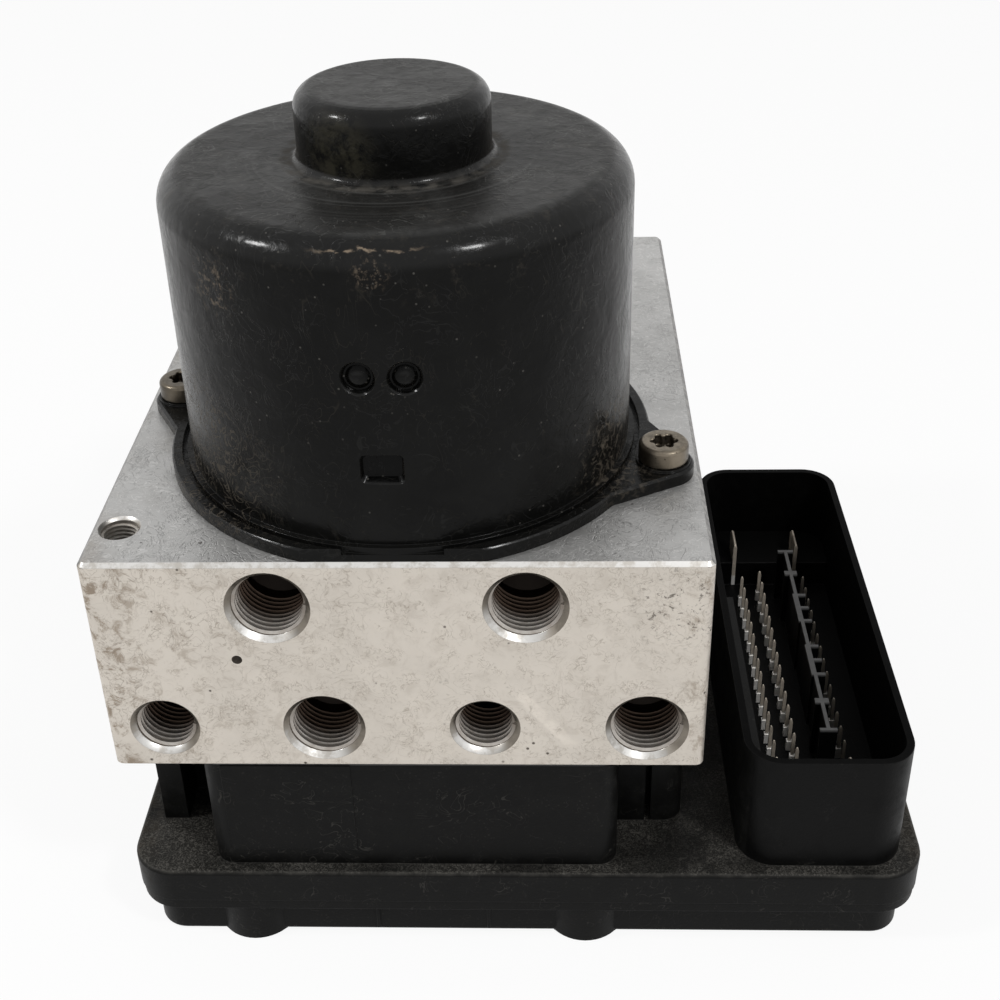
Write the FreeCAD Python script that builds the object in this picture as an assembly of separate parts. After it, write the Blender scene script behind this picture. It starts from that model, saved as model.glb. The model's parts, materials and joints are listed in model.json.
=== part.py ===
import FreeCAD, Part
import math
import os

# Brake pressure modulator: pump motor on an aluminium valve block on a plastic control unit.
# Millimetres, +Z up. The origin is the motor axis where it meets the resting plane,
# and -Y faces the side with the pipe ports. +X is the side with the plug socket.

Vector = FreeCAD.Vector
X_AXIS = Vector(1, 0, 0)
Y_AXIS = Vector(0, 1, 0)
Z_AXIS = Vector(0, 0, 1)
LEFT, RIGHT = -1, 1

# Clearances
seat_gap = 0.02
running_gap = 0.04
spring_gap = 0.15
stroke_gap = 0.3

# Joined bodies run this far into each other, and cutters this far past a face
overlap = 0.5
overrun = 1.0

# Broken edge of small turned pieces, and the point angle of a drilled hole
small_edge = 0.4
drill_point_angle = 118.0

# Valve block, its side and front faces laid out from the motor can
block_side_margin = 11.8
block_front_margin = 1.8
block_depth = 130.0
block_height = 42.0
block_corner = 1.4
block_chamfer = 0.7
front_pit_radius = 0.9
front_pit_depth = 0.5
front_pit_from_left = 23.5
front_pit_drop = 18.85

# Pipe ports on the front face
large_port_radius = 6.0
small_port_radius = 5.0
port_chamfer = 0.9
port_depth = 13.0
port_passage_radius = 2.0
port_passage_length = 5.0
upper_port_spacing = 41.0
upper_port_drop = 8.5
lower_port_inset = 9.725
lower_port_rise = 8.7

# Bracket holes
bracket_hole_radius = 3.0
bracket_hole_chamfer = 0.5
bracket_hole_depth = 14.0
top_hole_from_left = 4.6
top_hole_from_front = 10.5
side_hole_depth = 10.0
side_hole_from_back = 30.0
side_hole_height = 20.5

# Motor can and flange
can_radius = 38.2
can_wall = 2.0
can_height = 52.2
can_shoulder = 5.0
flange_reach = 3.7
flange_thickness = 2.4
flange_front_setback = 0.7
flange_edge = 0.3
flange_groove_outer_reach = 1.9
flange_groove_inner_reach = 1.0
flange_groove_depth = 1.1
boss_radius = 15.55
boss_height = 11.2
boss_shoulder = 3.0
boss_root = 1.2
boss_roof = 2.7
can_seal_width = 1.4
can_seal_depth = 1.2

# Screw lugs and screws of the motor
lug_radius = 5.2
lug_bevel = 0.4
lug_pad_radius = 4.6
lug_pad_height = 0.4
right_lug_reach = 7.15
right_lug_angle = -16.61
left_lug_reach = 6.08
left_lug_angle = 165.57
motor_screw_radius = 2.5
motor_screw_depth = 10.5
motor_screw_head_radius = 4.2
motor_screw_head_height = 3.3
motor_screw_edge = 0.5
motor_screw_socket_radius = 2.3
motor_screw_socket_depth = 2.0
motor_screw_socket_lobe = 0.55

# Marks pressed into the can's front
mark_overrun = 0.2
dimple_height = 31.4
dimple_spacing = 7.0
dimple_radius = 2.9
dimple_floor_radius = 2.2
dimple_depth = 1.0
dimple_dome_radius = 1.9
dimple_dome_height = 0.9
window_height = 16.0
window_offset = -0.8
window_width = 7.0
window_tall = 5.4
window_floor_width = 5.9
window_floor_tall = 3.6
window_depth = 1.3
window_corner = 0.8

# Armature
shaft_radius = 5.0
shaft_journal_radius = 3.5
bearing_radius = 13.0
bearing_width = 8.0
bearing_shield_depth = 0.6
air_gap = 0.78
core_from_block = 17.5
core_slot_count = 12
core_slot_width = 2.2
core_slot_depth = 6.4
winding_inner_radius = 12.5
winding_inset = 1.4
winding_roof_gap = 2.7
winding_lower_height = 4.2
winding_upper_height = 6.0
commutator_radius = 11.0
commutator_length = 9.0
commutator_from_block = 4.0
commutator_bar_count = 12
commutator_slot = 0.6
commutator_slot_depth = 1.0
magnet_count = 4
magnet_angle = 68.0
magnet_thickness = 7.0
magnet_overhang = 3.0

# Brush plate and brushes
plate_thickness = 2.5
plate_bore_gap = 3.0
brush_width = 5.0
brush_tall = 6.0
brush_length = 10.5
brush_from_block = 5.0
brush_spring_length = 6.0
brush_spring_radius = 1.7
brush_spring_wire = 0.5
brush_spring_turns = 5
holder_wall = 1.4
holder_gap = 2.5

# Motor supply through the block
supply_y = 26.0
supply_spacing = 6.0
supply_pin_radius = 1.2
supply_sleeve_wall = 1.6
supply_sleeve_setback = 1.5

# Pump
pump_drop = 18.0
pump_eccentricity = 1.0
pump_chamber_clearance = 2.0
pump_chamber_floor = 25.0
eccentric_wall = 1.0
eccentric_length = 9.0
eccentric_hub_wall = 1.1
eccentric_ring_wall = 2.5
eccentric_ring_length = 8.0
bush_wall = 1.45
bush_length = 6.0
pump_piston_radius = 3.5
pump_piston_recess = 1.0
pump_seal_depth = 0.5
pump_seal_width = 1.2
pump_seal_from_end = 3.0
pump_guide_length = 30.0
pump_chamber_bore = 5.5
pump_plug_radius = 7.0
pump_plug_length = 7.0
pump_plug_nose = 2.0
pump_plug_rim = 2.2
pump_plug_dish = 1.0
pump_spring_radius = 2.4
pump_spring_wire = 0.7
pump_spring_turns = 6

# Low pressure accumulators
accumulator_spacing = 48.0
accumulator_drop = 16.0
accumulator_radius = 12.0
accumulator_depth = 38.0
accumulator_piston_length = 13.0
accumulator_piston_floor = 4.0
accumulator_piston_wall = 2.2
accumulator_seal_start = 4.5
accumulator_seal_width = 2.5
accumulator_seal_depth = 1.2
accumulator_spring_wire = 1.5
accumulator_spring_gap = 0.8
accumulator_spring_turns = 5
accumulator_cover_step = 1.5
accumulator_cover_thickness = 4.0
accumulator_cover_rim = 3.0
accumulator_cover_dish = 1.5

# Solenoid valves
valve_pitch = 17.0
inlet_row_y = -13.0
outlet_row_y = 11.0
valve_radius = 6.5
valve_depth = 14.5
valve_collar_radius = 7.2
valve_collar_length = 3.5
valve_nose_edge = 1.0
dome_radius = 3.9
dome_gap = 1.5
dome_end_wall = 1.0
dome_wall = 0.7
dome_edge = 1.4
pole_length = 2.7
plunger_pin_radius = 1.1
plunger_tip_radius = 0.4
plunger_tip_height = 0.6
valve_lift = 0.4
valve_orifice_radius = 0.6
valve_seat_depth = 2.5
valve_spring_length = 3.0
valve_spring_radius = 2.2
valve_spring_wire = 0.4
valve_spring_turns = 3
coil_radius = 8.2
coil_top_gap = 4.0
coil_flange = 1.2
coil_waist = 0.6

# Closing balls of the drilled passages
closing_ball_radius = 2.5
closing_ball_sink = 1.2
closing_ball_bore = 9.0
closing_ball_back_y = 32.0
closing_ball_front_y = -16.0
closing_ball_height = 25.0

# Control unit cover
cover_height = 8.2
cover_lip = 2.3
cover_lip_inset = 0.3
cover_inset = 2.7
cover_wall = 2.0
cover_edge = 1.0
tower_radius = 7.4
cover_boss_radius = 5.6
cover_rib_width = 0.6
cover_rib_depth = 0.35
left_rib_x = -7.5
right_rib_x = 12.8

# Control unit housing
rim_height = 7.0
rim_wall = 2.2
deck_thickness = 2.5
deck_edge = 0.8
plate_corner = 8.0
plate_left_overhang = 1.5
plate_front_overhang = 1.5
plate_back_overhang = 1.5
plate_socket_margin = 3.7

# Neck between the plate and the block
neck_height = 24.0
neck_wall = 2.0
neck_corner = 3.5
neck_coil_gap = 0.3
neck_front_setback = 1.0
neck_shoulder_setback = 12.0
neck_left_inset = 2.5
neck_right_inset = 1.8
neck_back_setback = 7.0
neck_panel_proud = 0.2
neck_panel_rise = 3.5
neck_panel_width = 22.5
post_width = 4.5
post_recess_depth = 8.0
panel_slot_width = 1.0
panel_slot_depth = 4.0
panel_slot_shift = 0.2
gasket_thickness = 0.6

# Screws that hold the control unit to the block
front_screw_inset = 19.6
rear_screw_inset = 7.2
unit_screw_from_front = 6.4
unit_screw_from_back = 14.5
unit_screw_radius = 2.5
unit_screw_in_block = 11.0
unit_screw_head_radius = 4.2
unit_screw_head_height = 3.2
unit_screw_head_sink = 1.0
pillar_radius = 4.6
column_radius = 3.6

# Circuit board
board_gap = 1.2
board_thickness = 1.6
board_drop = 2.4
chip_height = 1.6
processor_size = 24.0
driver_size = 13.0
driver_offset = 31.0
capacitor_radius = 4.0
capacitor_height = 6.0
capacitor_offset_x = 24.0
capacitor_offset_y = 31.0

# Plug socket
socket_left_gap = 7.5
socket_width = 29.2
socket_front_setback = 1.0
socket_length = 95.0
socket_height = 24.0
socket_wall = 1.4
socket_corner = 6.5
carrier_thickness = 2.5
carrier_ledge = 3.6
socket_step_height = 8.3
socket_step_length = 12.5
rib_width = 2.3
rib_length = 47.0
rib_from_front = 7.0
rib_drop = 5.0
key_inset = 17.5
key_thickness = 0.7
key_height = 12.5
key_half_length = 28.5
key_tee_width = 3.2
key_tooth = 1.6
key_block = 2.6
key_block_place = 20.5
key_bay_start = 4.1
key_bay_pitch = 4.3

# Contacts of the plug socket
pin_pitch = 4.0
inner_pin_inset = 8.3
middle_pin_inset = 12.3
outer_pin_inset = 21.3
inner_pin_count = 14
middle_pin_count = 15
outer_pin_count = 14
pin_width = 0.64
pin_root_width = 1.0
pin_root_height = 2.2
pin_tip = 0.6
pin_height = 7.5
inner_blade_inset = 7.5
outer_blade_inset = 20.7
blade_length = 6.3
blade_thickness = 0.8
blade_height = 10.5
blade_from_end = 9.5
blade_tip = 0.6
tip_share = 0.35

# Levels and faces worked out from the sizes above
split_level = cover_height + cover_lip
deck_level = split_level + rim_height
tray_roof = deck_level - deck_thickness
block_floor = deck_level + neck_height
block_top = block_floor + block_height
front_face = -(can_radius + block_front_margin)
back_face = front_face + block_depth
side_face = can_radius + block_side_margin
board_top = tray_roof - board_drop
board_bottom = board_top - board_thickness
pump_level = block_top - pump_drop
socket_left = side_face + socket_left_gap
socket_right = socket_left + socket_width
socket_front = front_face + socket_front_setback
socket_back = socket_front + socket_length
socket_middle = (socket_front + socket_back) / 2
socket_base = deck_level + carrier_thickness
socket_top = deck_level + socket_height
step_top = deck_level + socket_step_height
plate_left = -side_face - plate_left_overhang
plate_right = socket_right + plate_socket_margin
plate_front = front_face - plate_front_overhang
plate_back = back_face + plate_back_overhang
neck_left = -side_face + neck_left_inset
neck_right = side_face - neck_right_inset
neck_front = front_face + neck_front_setback
neck_back = back_face - neck_back_setback
neck_box = 1.5 * valve_pitch + coil_radius + neck_coil_gap + neck_wall
neck_top = block_floor - gasket_thickness
panel_slot_right = (neck_box + neck_right + panel_slot_width) / 2 - panel_slot_shift
neck_corner_radius = min(neck_corner, 0.8 * (neck_right - panel_slot_right))
drill_slope = 1 / math.tan(math.radians(drill_point_angle / 2))
lower_port_pitch = 2 * (side_face - lower_port_inset) / 3
flange_radius = can_radius + flange_reach
bearing_seat_depth = bearing_width + stroke_gap
magnet_outer_radius = can_radius - can_wall - seat_gap
core_radius = magnet_outer_radius - magnet_thickness - air_gap
core_slot_bottom = core_radius - core_slot_depth
core_length = can_height - can_wall - winding_roof_gap - winding_upper_height - core_from_block
winding_outer_radius = core_radius - winding_inset
supply_sleeve_radius = supply_spacing / 2 + supply_pin_radius + supply_sleeve_wall
eccentric_radius = shaft_journal_radius + pump_eccentricity + eccentric_wall
eccentric_ring_radius = eccentric_radius + eccentric_ring_wall
pump_chamber_radius = eccentric_ring_radius + pump_eccentricity + pump_chamber_clearance
bush_radius = shaft_journal_radius + bush_wall
piston_rest = eccentric_ring_radius + pump_eccentricity + stroke_gap
pump_piston_length = pump_guide_length - piston_rest - pump_piston_recess
accumulator_cover_radius = accumulator_radius + accumulator_cover_step
dome_length = neck_height - dome_gap
plunger_length = dome_length - dome_end_wall - valve_spring_length - valve_lift - pole_length


# Simple bodies

def cylinder(radius, low, high, x=0.0, y=0.0):
    return Part.makeCylinder(radius, high - low, Vector(x, y, low))


def tube(outer, inner, low, high, x=0.0, y=0.0):
    return cylinder(outer, low, high, x, y).cut(cylinder(inner, low, high, x, y))


def cuboid(x_low, x_high, y_low, y_high, low, high):
    return Part.makeBox(x_high - x_low, y_high - y_low, high - low, Vector(x_low, y_low, low))


def rounded_cuboid(x_low, x_high, y_low, y_high, low, high, radius):
    body = cuboid(x_low, x_high, y_low, y_high, low, high)
    return body.makeFillet(radius, upright_edges(body))


def prism(corners, low, high):
    points = [Vector(x, y, low) for x, y in corners]
    face = Part.Face(Part.makePolygon(points + points[:1]))
    return face.extrude(Vector(0, 0, high - low))


def revolved(profile, x=0.0, y=0.0):
    """Solid turned about the upright line through (x, y) from (radius, height) points."""
    points = [Vector(x + radius, y, height) for radius, height in profile]
    face = Part.Face(Part.makePolygon(points + points[:1]))
    return face.revolve(Vector(x, y, 0), Z_AXIS, 360)


def upright_edges(body):
    return [edge for edge in body.Edges if is_upright(edge)]


def is_upright(edge):
    start, end = edge.Vertexes[0].Point, edge.Vertexes[-1].Point
    return abs(start.x - end.x) < 1e-6 and abs(start.y - end.y) < 1e-6 and abs(start.z - end.z) > 1e-6


def level_edges(body, level):
    return [edge for edge in body.Edges
            if all(abs(vertex.Z - level) < 1e-6 for vertex in edge.Vertexes)
            and abs(edge.BoundBox.ZMax - edge.BoundBox.ZMin) < 1e-3]


def ring_edges(body, radius, level):
    """Full circles about the motor axis with the given radius, at the given level."""
    found = []
    for edge in level_edges(body, level):
        if isinstance(edge.Curve, Part.Circle) and abs(edge.Curve.Radius - radius) < 1e-6:
            found.append(edge)
    return found


def combined(bodies):
    first, rest = bodies[0], bodies[1:]
    return first.multiFuse(rest).removeSplitter() if rest else first


def lying(body, direction, place):
    """Body modelled upright from the origin, laid along a level direction from the given place."""
    laid = body.copy()
    laid.Placement = FreeCAD.Placement(place, FreeCAD.Rotation(Z_AXIS, direction)).multiply(body.Placement)
    return laid


def coil_spring(radius, wire, length, turns):
    """Round coil of flat wire standing on the origin along +Z."""
    pitch = (length - wire) / turns
    helix = Part.makeHelix(pitch, pitch * turns, radius)
    half = wire / 2
    corners = [Vector(radius - half, 0, -half), Vector(radius + half, 0, -half),
               Vector(radius + half, 0, half), Vector(radius - half, 0, half)]
    section = Part.makePolygon(corners + corners[:1])
    spring = Part.Wire(helix.Edges).makePipeShell([section], True, True)
    return spring.translated(Vector(0, 0, half))


# Motor

def tangent_lug(x, y):
    """Flat lug round a screw hole, its arms running tangent to the flange."""
    distance = math.hypot(x, y)
    heading = math.atan2(y, x)
    arm_radius = can_radius - can_wall / 2
    spread = math.acos((arm_radius - lug_radius) / distance)
    outline = []
    for side in (1, -1):
        angle = heading + side * spread
        toward = Vector(math.cos(angle), math.sin(angle), 0)
        outline.append((toward * arm_radius, Vector(x, y, 0) + toward * lug_radius))
    tip = Vector(x + lug_radius * math.cos(heading), y + lug_radius * math.sin(heading), 0)
    edges = [Part.LineSegment(outline[0][0], outline[0][1]).toShape(),
             Part.Arc(outline[0][1], tip, outline[1][1]).toShape(),
             Part.LineSegment(outline[1][1], outline[1][0]).toShape(),
             Part.LineSegment(outline[1][0], outline[0][0]).toShape()]
    body = Part.Face(Part.Wire(edges)).extrude(Vector(0, 0, flange_thickness))
    rim = [edge for edge in level_edges(body, flange_thickness)
           if edge.CenterOfMass.distanceToPoint(Vector(0, 0, flange_thickness)) > arm_radius]
    return body.makeChamfer(lug_bevel, rim)


def can_body():
    """Deep drawn can with its bearing boss and flange, standing on the origin."""
    inside = can_radius - can_wall
    roof = can_height - can_wall
    boss_top = can_height + boss_height
    body = revolved([
        (inside, 0), (flange_radius, 0), (flange_radius, flange_thickness),
        (can_radius, flange_thickness), (can_radius, can_height), (boss_radius, can_height),
        (boss_radius, boss_top), (0, boss_top), (0, boss_top - boss_roof),
        (bearing_radius, boss_top - boss_roof), (bearing_radius, roof), (inside, roof)])
    body = body.makeFillet(can_shoulder, ring_edges(body, can_radius, can_height))
    body = body.makeFillet(boss_shoulder, ring_edges(body, boss_radius, boss_top))
    body = body.makeFillet(boss_root, ring_edges(body, boss_radius, can_height))
    body = body.makeFillet(can_shoulder - can_wall, ring_edges(body, inside, roof))
    return body.makeChamfer(flange_edge, ring_edges(body, flange_radius, flange_thickness))


def dimple(side):
    """Tapered round pocket with a domed floor; returned as the cut and the dome."""
    floor = can_radius - dimple_depth
    pocket = Part.makeCone(dimple_floor_radius, dimple_radius, dimple_depth + mark_overrun)
    ball_radius = (dimple_dome_radius ** 2 + dimple_dome_height ** 2) / (2 * dimple_dome_height)
    ball = Part.makeSphere(ball_radius, Vector(0, 0, dimple_dome_height - ball_radius))
    dome = ball.common(cylinder(dimple_dome_radius + overrun, -mark_overrun, dimple_dome_height))
    turn = math.asin(side * dimple_spacing / 2 / can_radius)
    outward = Vector(math.sin(turn), -math.cos(turn), 0)
    place = outward * floor + Vector(0, 0, dimple_height)
    return lying(pocket, outward, place), lying(dome, outward, place)


def rounded_rectangle(width, tall, corner, centre, y):
    """Closed outline in an upright plane that faces along Y."""
    flat = cuboid(-width / 2, width / 2, 0, 1, -tall / 2, tall / 2)
    edges = [edge for edge in flat.Edges if abs(edge.Vertexes[0].Y - edge.Vertexes[-1].Y) > 0.5]
    flat = flat.makeFillet(corner, edges)
    face = min(flat.Faces, key=lambda candidate: candidate.CenterOfMass.y)
    return face.OuterWire.translated(Vector(centre.x, y, centre.z))


def window_pocket():
    """Framed rectangular pocket whose walls slope in to its floor."""
    centre = Vector(window_offset, 0, window_height)
    mouth = rounded_rectangle(window_width, window_tall, window_corner, centre,
                              -can_radius - mark_overrun)
    floor = rounded_rectangle(window_floor_width, window_floor_tall, window_corner, centre,
                              -can_radius + window_depth)
    return Part.makeLoft([mouth, floor], True, True)


def motor_screw_places():
    """Centres of the right and the left motor screw."""
    places = []
    for reach, angle in ((right_lug_reach, right_lug_angle), (left_lug_reach, left_lug_angle)):
        heading = math.radians(angle)
        distance = can_radius + reach
        places.append((distance * math.cos(heading), distance * math.sin(heading)))
    return places


def foot_groove():
    """Ring that is pressed into the flange and the lugs round the can's foot."""
    outer = can_radius + flange_groove_outer_reach
    inner = can_radius + flange_groove_inner_reach
    floor = flange_thickness - flange_groove_depth
    return tube(outer, inner, floor, flange_thickness + overrun)


def motor_housing():
    body = can_body()
    hollow = cylinder(can_radius - can_wall, 0, can_height - can_shoulder)
    for x, y in motor_screw_places():
        body = body.fuse(tangent_lug(x, y).cut(hollow))
    body = body.cut(foot_groove())
    pad_top = flange_thickness + lug_pad_height
    for x, y in motor_screw_places():
        body = body.fuse(cylinder(lug_pad_radius, 0, pad_top, x, y))
        body = body.cut(cylinder(motor_screw_radius + stroke_gap, 0, pad_top, x, y))
    cut_face = front_face + flange_front_setback
    body = body.cut(cuboid(-flange_radius, flange_radius, -2 * flange_radius, cut_face, 0, flange_thickness))
    for side in (LEFT, RIGHT):
        pocket, dome = dimple(side)
        body = body.cut(pocket).fuse(dome)
    body = body.cut(window_pocket()).removeSplitter()
    return body.translated(Vector(0, 0, block_top))


def six_lobe_socket(radius, lobe, low, high):
    """Six-lobed driver recess: a round hole with six round lobes on its rim."""
    lobes = [cylinder(radius - lobe, low, high)]
    for index in range(6):
        angle = math.radians(60 * index)
        centre = radius - lobe
        lobes.append(cylinder(lobe, low, high, centre * math.cos(angle), centre * math.sin(angle)))
    return combined(lobes)


def motor_screw(x, y):
    head_floor = flange_thickness + lug_pad_height
    head_top = head_floor + motor_screw_head_height
    shank = motor_screw_radius - running_gap
    screw = revolved([
        (0, stroke_gap - motor_screw_depth), (shank - motor_screw_edge, stroke_gap - motor_screw_depth),
        (shank, stroke_gap - motor_screw_depth + motor_screw_edge), (shank, head_floor),
        (motor_screw_head_radius, head_floor), (motor_screw_head_radius, head_top - motor_screw_edge),
        (motor_screw_head_radius - motor_screw_edge, head_top), (0, head_top)])
    socket = six_lobe_socket(motor_screw_socket_radius, motor_screw_socket_lobe,
                             head_top - motor_screw_socket_depth, head_top)
    return screw.cut(socket).translated(Vector(x, y, block_top))


def motor_screws():
    return Part.makeCompound([motor_screw(x, y) for x, y in motor_screw_places()])


def can_seal_middle():
    return can_radius - can_wall / 2


def motor_seal():
    outer = can_seal_middle() + can_seal_width / 2 - seat_gap
    inner = can_seal_middle() - can_seal_width / 2 + seat_gap
    return tube(outer, inner, block_top - can_seal_depth, block_top)


def magnets():
    """Curved magnets against the inside of the can."""
    low = block_top + core_from_block - magnet_overhang
    length = core_length + 2 * magnet_overhang
    inner = magnet_outer_radius - magnet_thickness
    ring = []
    for index in range(magnet_count):
        segment = Part.makeCylinder(magnet_outer_radius, length, Vector(0, 0, low), Z_AXIS, magnet_angle)
        segment = segment.cut(cylinder(inner, low, low + length))
        segment.rotate(Vector(0, 0, 0), Z_AXIS, index * 360 / magnet_count + (90 - magnet_angle) / 2)
        ring.append(segment)
    return Part.makeCompound(ring)


def bearing(low, bore):
    """Shielded ball bearing as one ring, its two shields set back between the races."""
    high = low + bearing_width
    outer = bearing_radius - seat_gap
    race = (outer - bore) / 4
    return revolved([
        (bore, low), (bore + race, low), (bore + race, low + bearing_shield_depth),
        (outer - race, low + bearing_shield_depth), (outer - race, low), (outer, low),
        (outer, high), (outer - race, high), (outer - race, high - bearing_shield_depth),
        (bore + race, high - bearing_shield_depth), (bore + race, high), (bore, high)])


def upper_bearing_top():
    return block_top + can_height + boss_height - boss_roof - seat_gap


def upper_bearing():
    return bearing(upper_bearing_top() - bearing_width, shaft_radius + running_gap)


def lower_bearing():
    return bearing(block_top - bearing_seat_depth + seat_gap, shaft_radius + running_gap)


def shaft_step():
    return block_top - bearing_seat_depth


def shaft_foot():
    return block_top - pump_chamber_floor - bush_length + stroke_gap


def armature_shaft():
    top = upper_bearing_top() - stroke_gap
    return revolved([
        (0, shaft_foot()), (shaft_journal_radius - small_edge, shaft_foot()),
        (shaft_journal_radius, shaft_foot() + small_edge), (shaft_journal_radius, shaft_step()),
        (shaft_radius, shaft_step()), (shaft_radius, top - small_edge), (shaft_radius - small_edge, top),
        (0, top)])


def core_slot(index, inner, outer, width, low, high):
    slot = cuboid(inner, outer, -width / 2, width / 2, low, high)
    slot.rotate(Vector(0, 0, 0), Z_AXIS, index * 360 / core_slot_count)
    return slot


def armature_core():
    """Stack of laminations with open slots for the windings."""
    low = block_top + core_from_block
    high = low + core_length
    core = tube(core_radius, shaft_radius + seat_gap, low, high)
    slots = [core_slot(index, core_slot_bottom, core_radius + overrun, core_slot_width, low, high)
             for index in range(core_slot_count)]
    return core.cut(slots)


def winding_head(low, high):
    """Rounded ring of end turns."""
    edge = (high - low) / 3
    return revolved([
        (winding_inner_radius, low), (winding_outer_radius - edge, low), (winding_outer_radius, low + edge),
        (winding_outer_radius, high - edge), (winding_outer_radius - edge, high),
        (winding_inner_radius, high)])


def armature_windings():
    """End turns above and below the core, joined by the wires in its slots."""
    low = block_top + core_from_block
    high = low + core_length
    heads = [winding_head(low - winding_lower_height, low - seat_gap),
             winding_head(high + seat_gap, high + winding_upper_height)]
    wires = [core_slot(index, core_slot_bottom + seat_gap, winding_outer_radius - overrun,
                       core_slot_width - 2 * seat_gap, low - overrun, high + overrun)
             for index in range(core_slot_count)]
    return combined(heads + wires)


def commutator():
    low = block_top + commutator_from_block
    high = low + commutator_length
    body = tube(commutator_radius, shaft_radius + seat_gap, low, high)
    slots = []
    for index in range(commutator_bar_count):
        slot = cuboid(commutator_radius - commutator_slot_depth, commutator_radius + overrun,
                      -commutator_slot / 2, commutator_slot / 2, low, high)
        slot.rotate(Vector(0, 0, 0), Z_AXIS, (index + 0.5) * 360 / commutator_bar_count)
        slots.append(slot)
    return body.cut(slots)


def brush_level():
    return block_top + brush_from_block


def brush_outer_end():
    return commutator_radius + running_gap + brush_length


def holder_end():
    return brush_outer_end() + brush_spring_length


def brush(side):
    """Carbon block with its inner end hollowed to the commutator."""
    body = cuboid(0, brush_outer_end(), -brush_width / 2, brush_width / 2,
                  brush_level(), brush_level() + brush_tall)
    body = body.cut(cylinder(commutator_radius + running_gap, brush_level(), brush_level() + brush_tall))
    return body if side == RIGHT else body.mirror(Vector(0, 0, 0), X_AXIS)


def brush_spring(side):
    length = brush_spring_length - 2 * spring_gap
    spring = coil_spring(brush_spring_radius, brush_spring_wire, length, brush_spring_turns)
    middle = brush_level() + brush_tall / 2
    return lying(spring, Vector(side, 0, 0), Vector(side * (brush_outer_end() + spring_gap), 0, middle))


def brush_holder(side):
    """Open-ended box that guides one brush, closed behind its spring."""
    half_width = brush_width / 2 + running_gap
    low = brush_level() - running_gap
    high = brush_level() + brush_tall + running_gap
    start = commutator_radius + holder_gap
    shell = cuboid(start, holder_end() + holder_wall, -half_width - holder_wall, half_width + holder_wall,
                   block_top, high + holder_wall)
    channel = cuboid(0, holder_end(), -half_width, half_width, low, high)
    body = shell.cut(channel)
    return body if side == RIGHT else body.mirror(Vector(0, 0, 0), X_AXIS)


def brush_plate():
    """Moulded disc on the block with the two brush boxes standing on it."""
    plate_top = block_top + plate_thickness
    disc = tube(can_radius - can_wall - stroke_gap, shaft_radius + plate_bore_gap, block_top, plate_top)
    body = combined([disc, brush_holder(LEFT), brush_holder(RIGHT)])
    for side in (LEFT, RIGHT):
        body = body.cut(supply_hole(side, block_top, plate_top))
    return body


def supply_hole(side, low, high):
    return cylinder(supply_pin_radius + seat_gap, low, high, side * supply_spacing / 2, supply_y)


def supply_pins():
    """Pair of posts that carry the motor current down to the circuit board."""
    top = block_top + plate_thickness
    pins = [cylinder(supply_pin_radius, board_top, top, side * supply_spacing / 2, supply_y)
            for side in (LEFT, RIGHT)]
    return Part.makeCompound(pins)


def supply_sleeve():
    top = block_top - supply_sleeve_setback
    body = cylinder(supply_sleeve_radius - seat_gap, block_floor, top, 0, supply_y)
    for side in (LEFT, RIGHT):
        body = body.cut(supply_hole(side, block_floor, top))
    return body


# Pump

def eccentric():
    """Off-centre sleeve on the shaft with a plain hub under the bearing."""
    low = pump_level - eccentric_length / 2
    high = pump_level + eccentric_length / 2
    bore = shaft_journal_radius + seat_gap
    lobe = cylinder(eccentric_radius, low, high, 0, pump_eccentricity)
    hub = cylinder(shaft_journal_radius + eccentric_hub_wall, high, shaft_step() - seat_gap)
    return combined([lobe, hub]).cut(cylinder(bore, low, shaft_step()))


def eccentric_ring():
    low = pump_level - eccentric_ring_length / 2
    return tube(eccentric_ring_radius, eccentric_radius + running_gap, low, low + eccentric_ring_length,
                0, pump_eccentricity)


def shaft_bush():
    low = block_top - pump_chamber_floor - bush_length
    return tube(bush_radius, shaft_journal_radius + running_gap, low, low + bush_length)


def pump_piston(side):
    """Ground plunger with a seal groove near its outer end."""
    radius = pump_piston_radius - running_gap
    end = pump_piston_length
    groove_end = end - pump_seal_from_end
    groove_start = groove_end - pump_seal_width
    body = revolved([
        (0, 0), (radius - small_edge, 0), (radius, small_edge), (radius, groove_start),
        (radius - pump_seal_depth, groove_start), (radius - pump_seal_depth, groove_end),
        (radius, groove_end), (radius, end - small_edge), (radius - small_edge, end), (0, end)])
    return lying(body, Vector(side, 0, 0), Vector(side * piston_rest, 0, pump_level))


def pump_spring_start():
    return piston_rest + pump_piston_length


def pump_plug_face():
    return side_face - pump_plug_length - pump_plug_nose


def pump_spring(side):
    length = pump_plug_face() - pump_spring_start() - 2 * spring_gap
    spring = coil_spring(pump_spring_radius, pump_spring_wire, length, pump_spring_turns)
    start = pump_spring_start() + spring_gap
    return lying(spring, Vector(side, 0, 0), Vector(side * start, 0, pump_level))


def pump_plug(side):
    """Pressed plug with a narrower nose inside and a dished outer face."""
    outer = pump_plug_radius - seat_gap
    nose = pump_chamber_bore - seat_gap
    length = pump_plug_length + pump_plug_nose
    dish = length - pump_plug_dish
    body = revolved([
        (0, 0), (nose, 0), (nose, pump_plug_nose), (outer, pump_plug_nose), (outer, length - small_edge),
        (outer - small_edge, length), (outer - pump_plug_rim, length),
        (outer - pump_plug_rim - pump_plug_dish, dish), (0, dish)])
    return lying(body, Vector(side, 0, 0), Vector(side * pump_plug_face(), 0, pump_level))


def pump_plugs():
    return Part.makeCompound([pump_plug(LEFT), pump_plug(RIGHT)])


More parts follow.
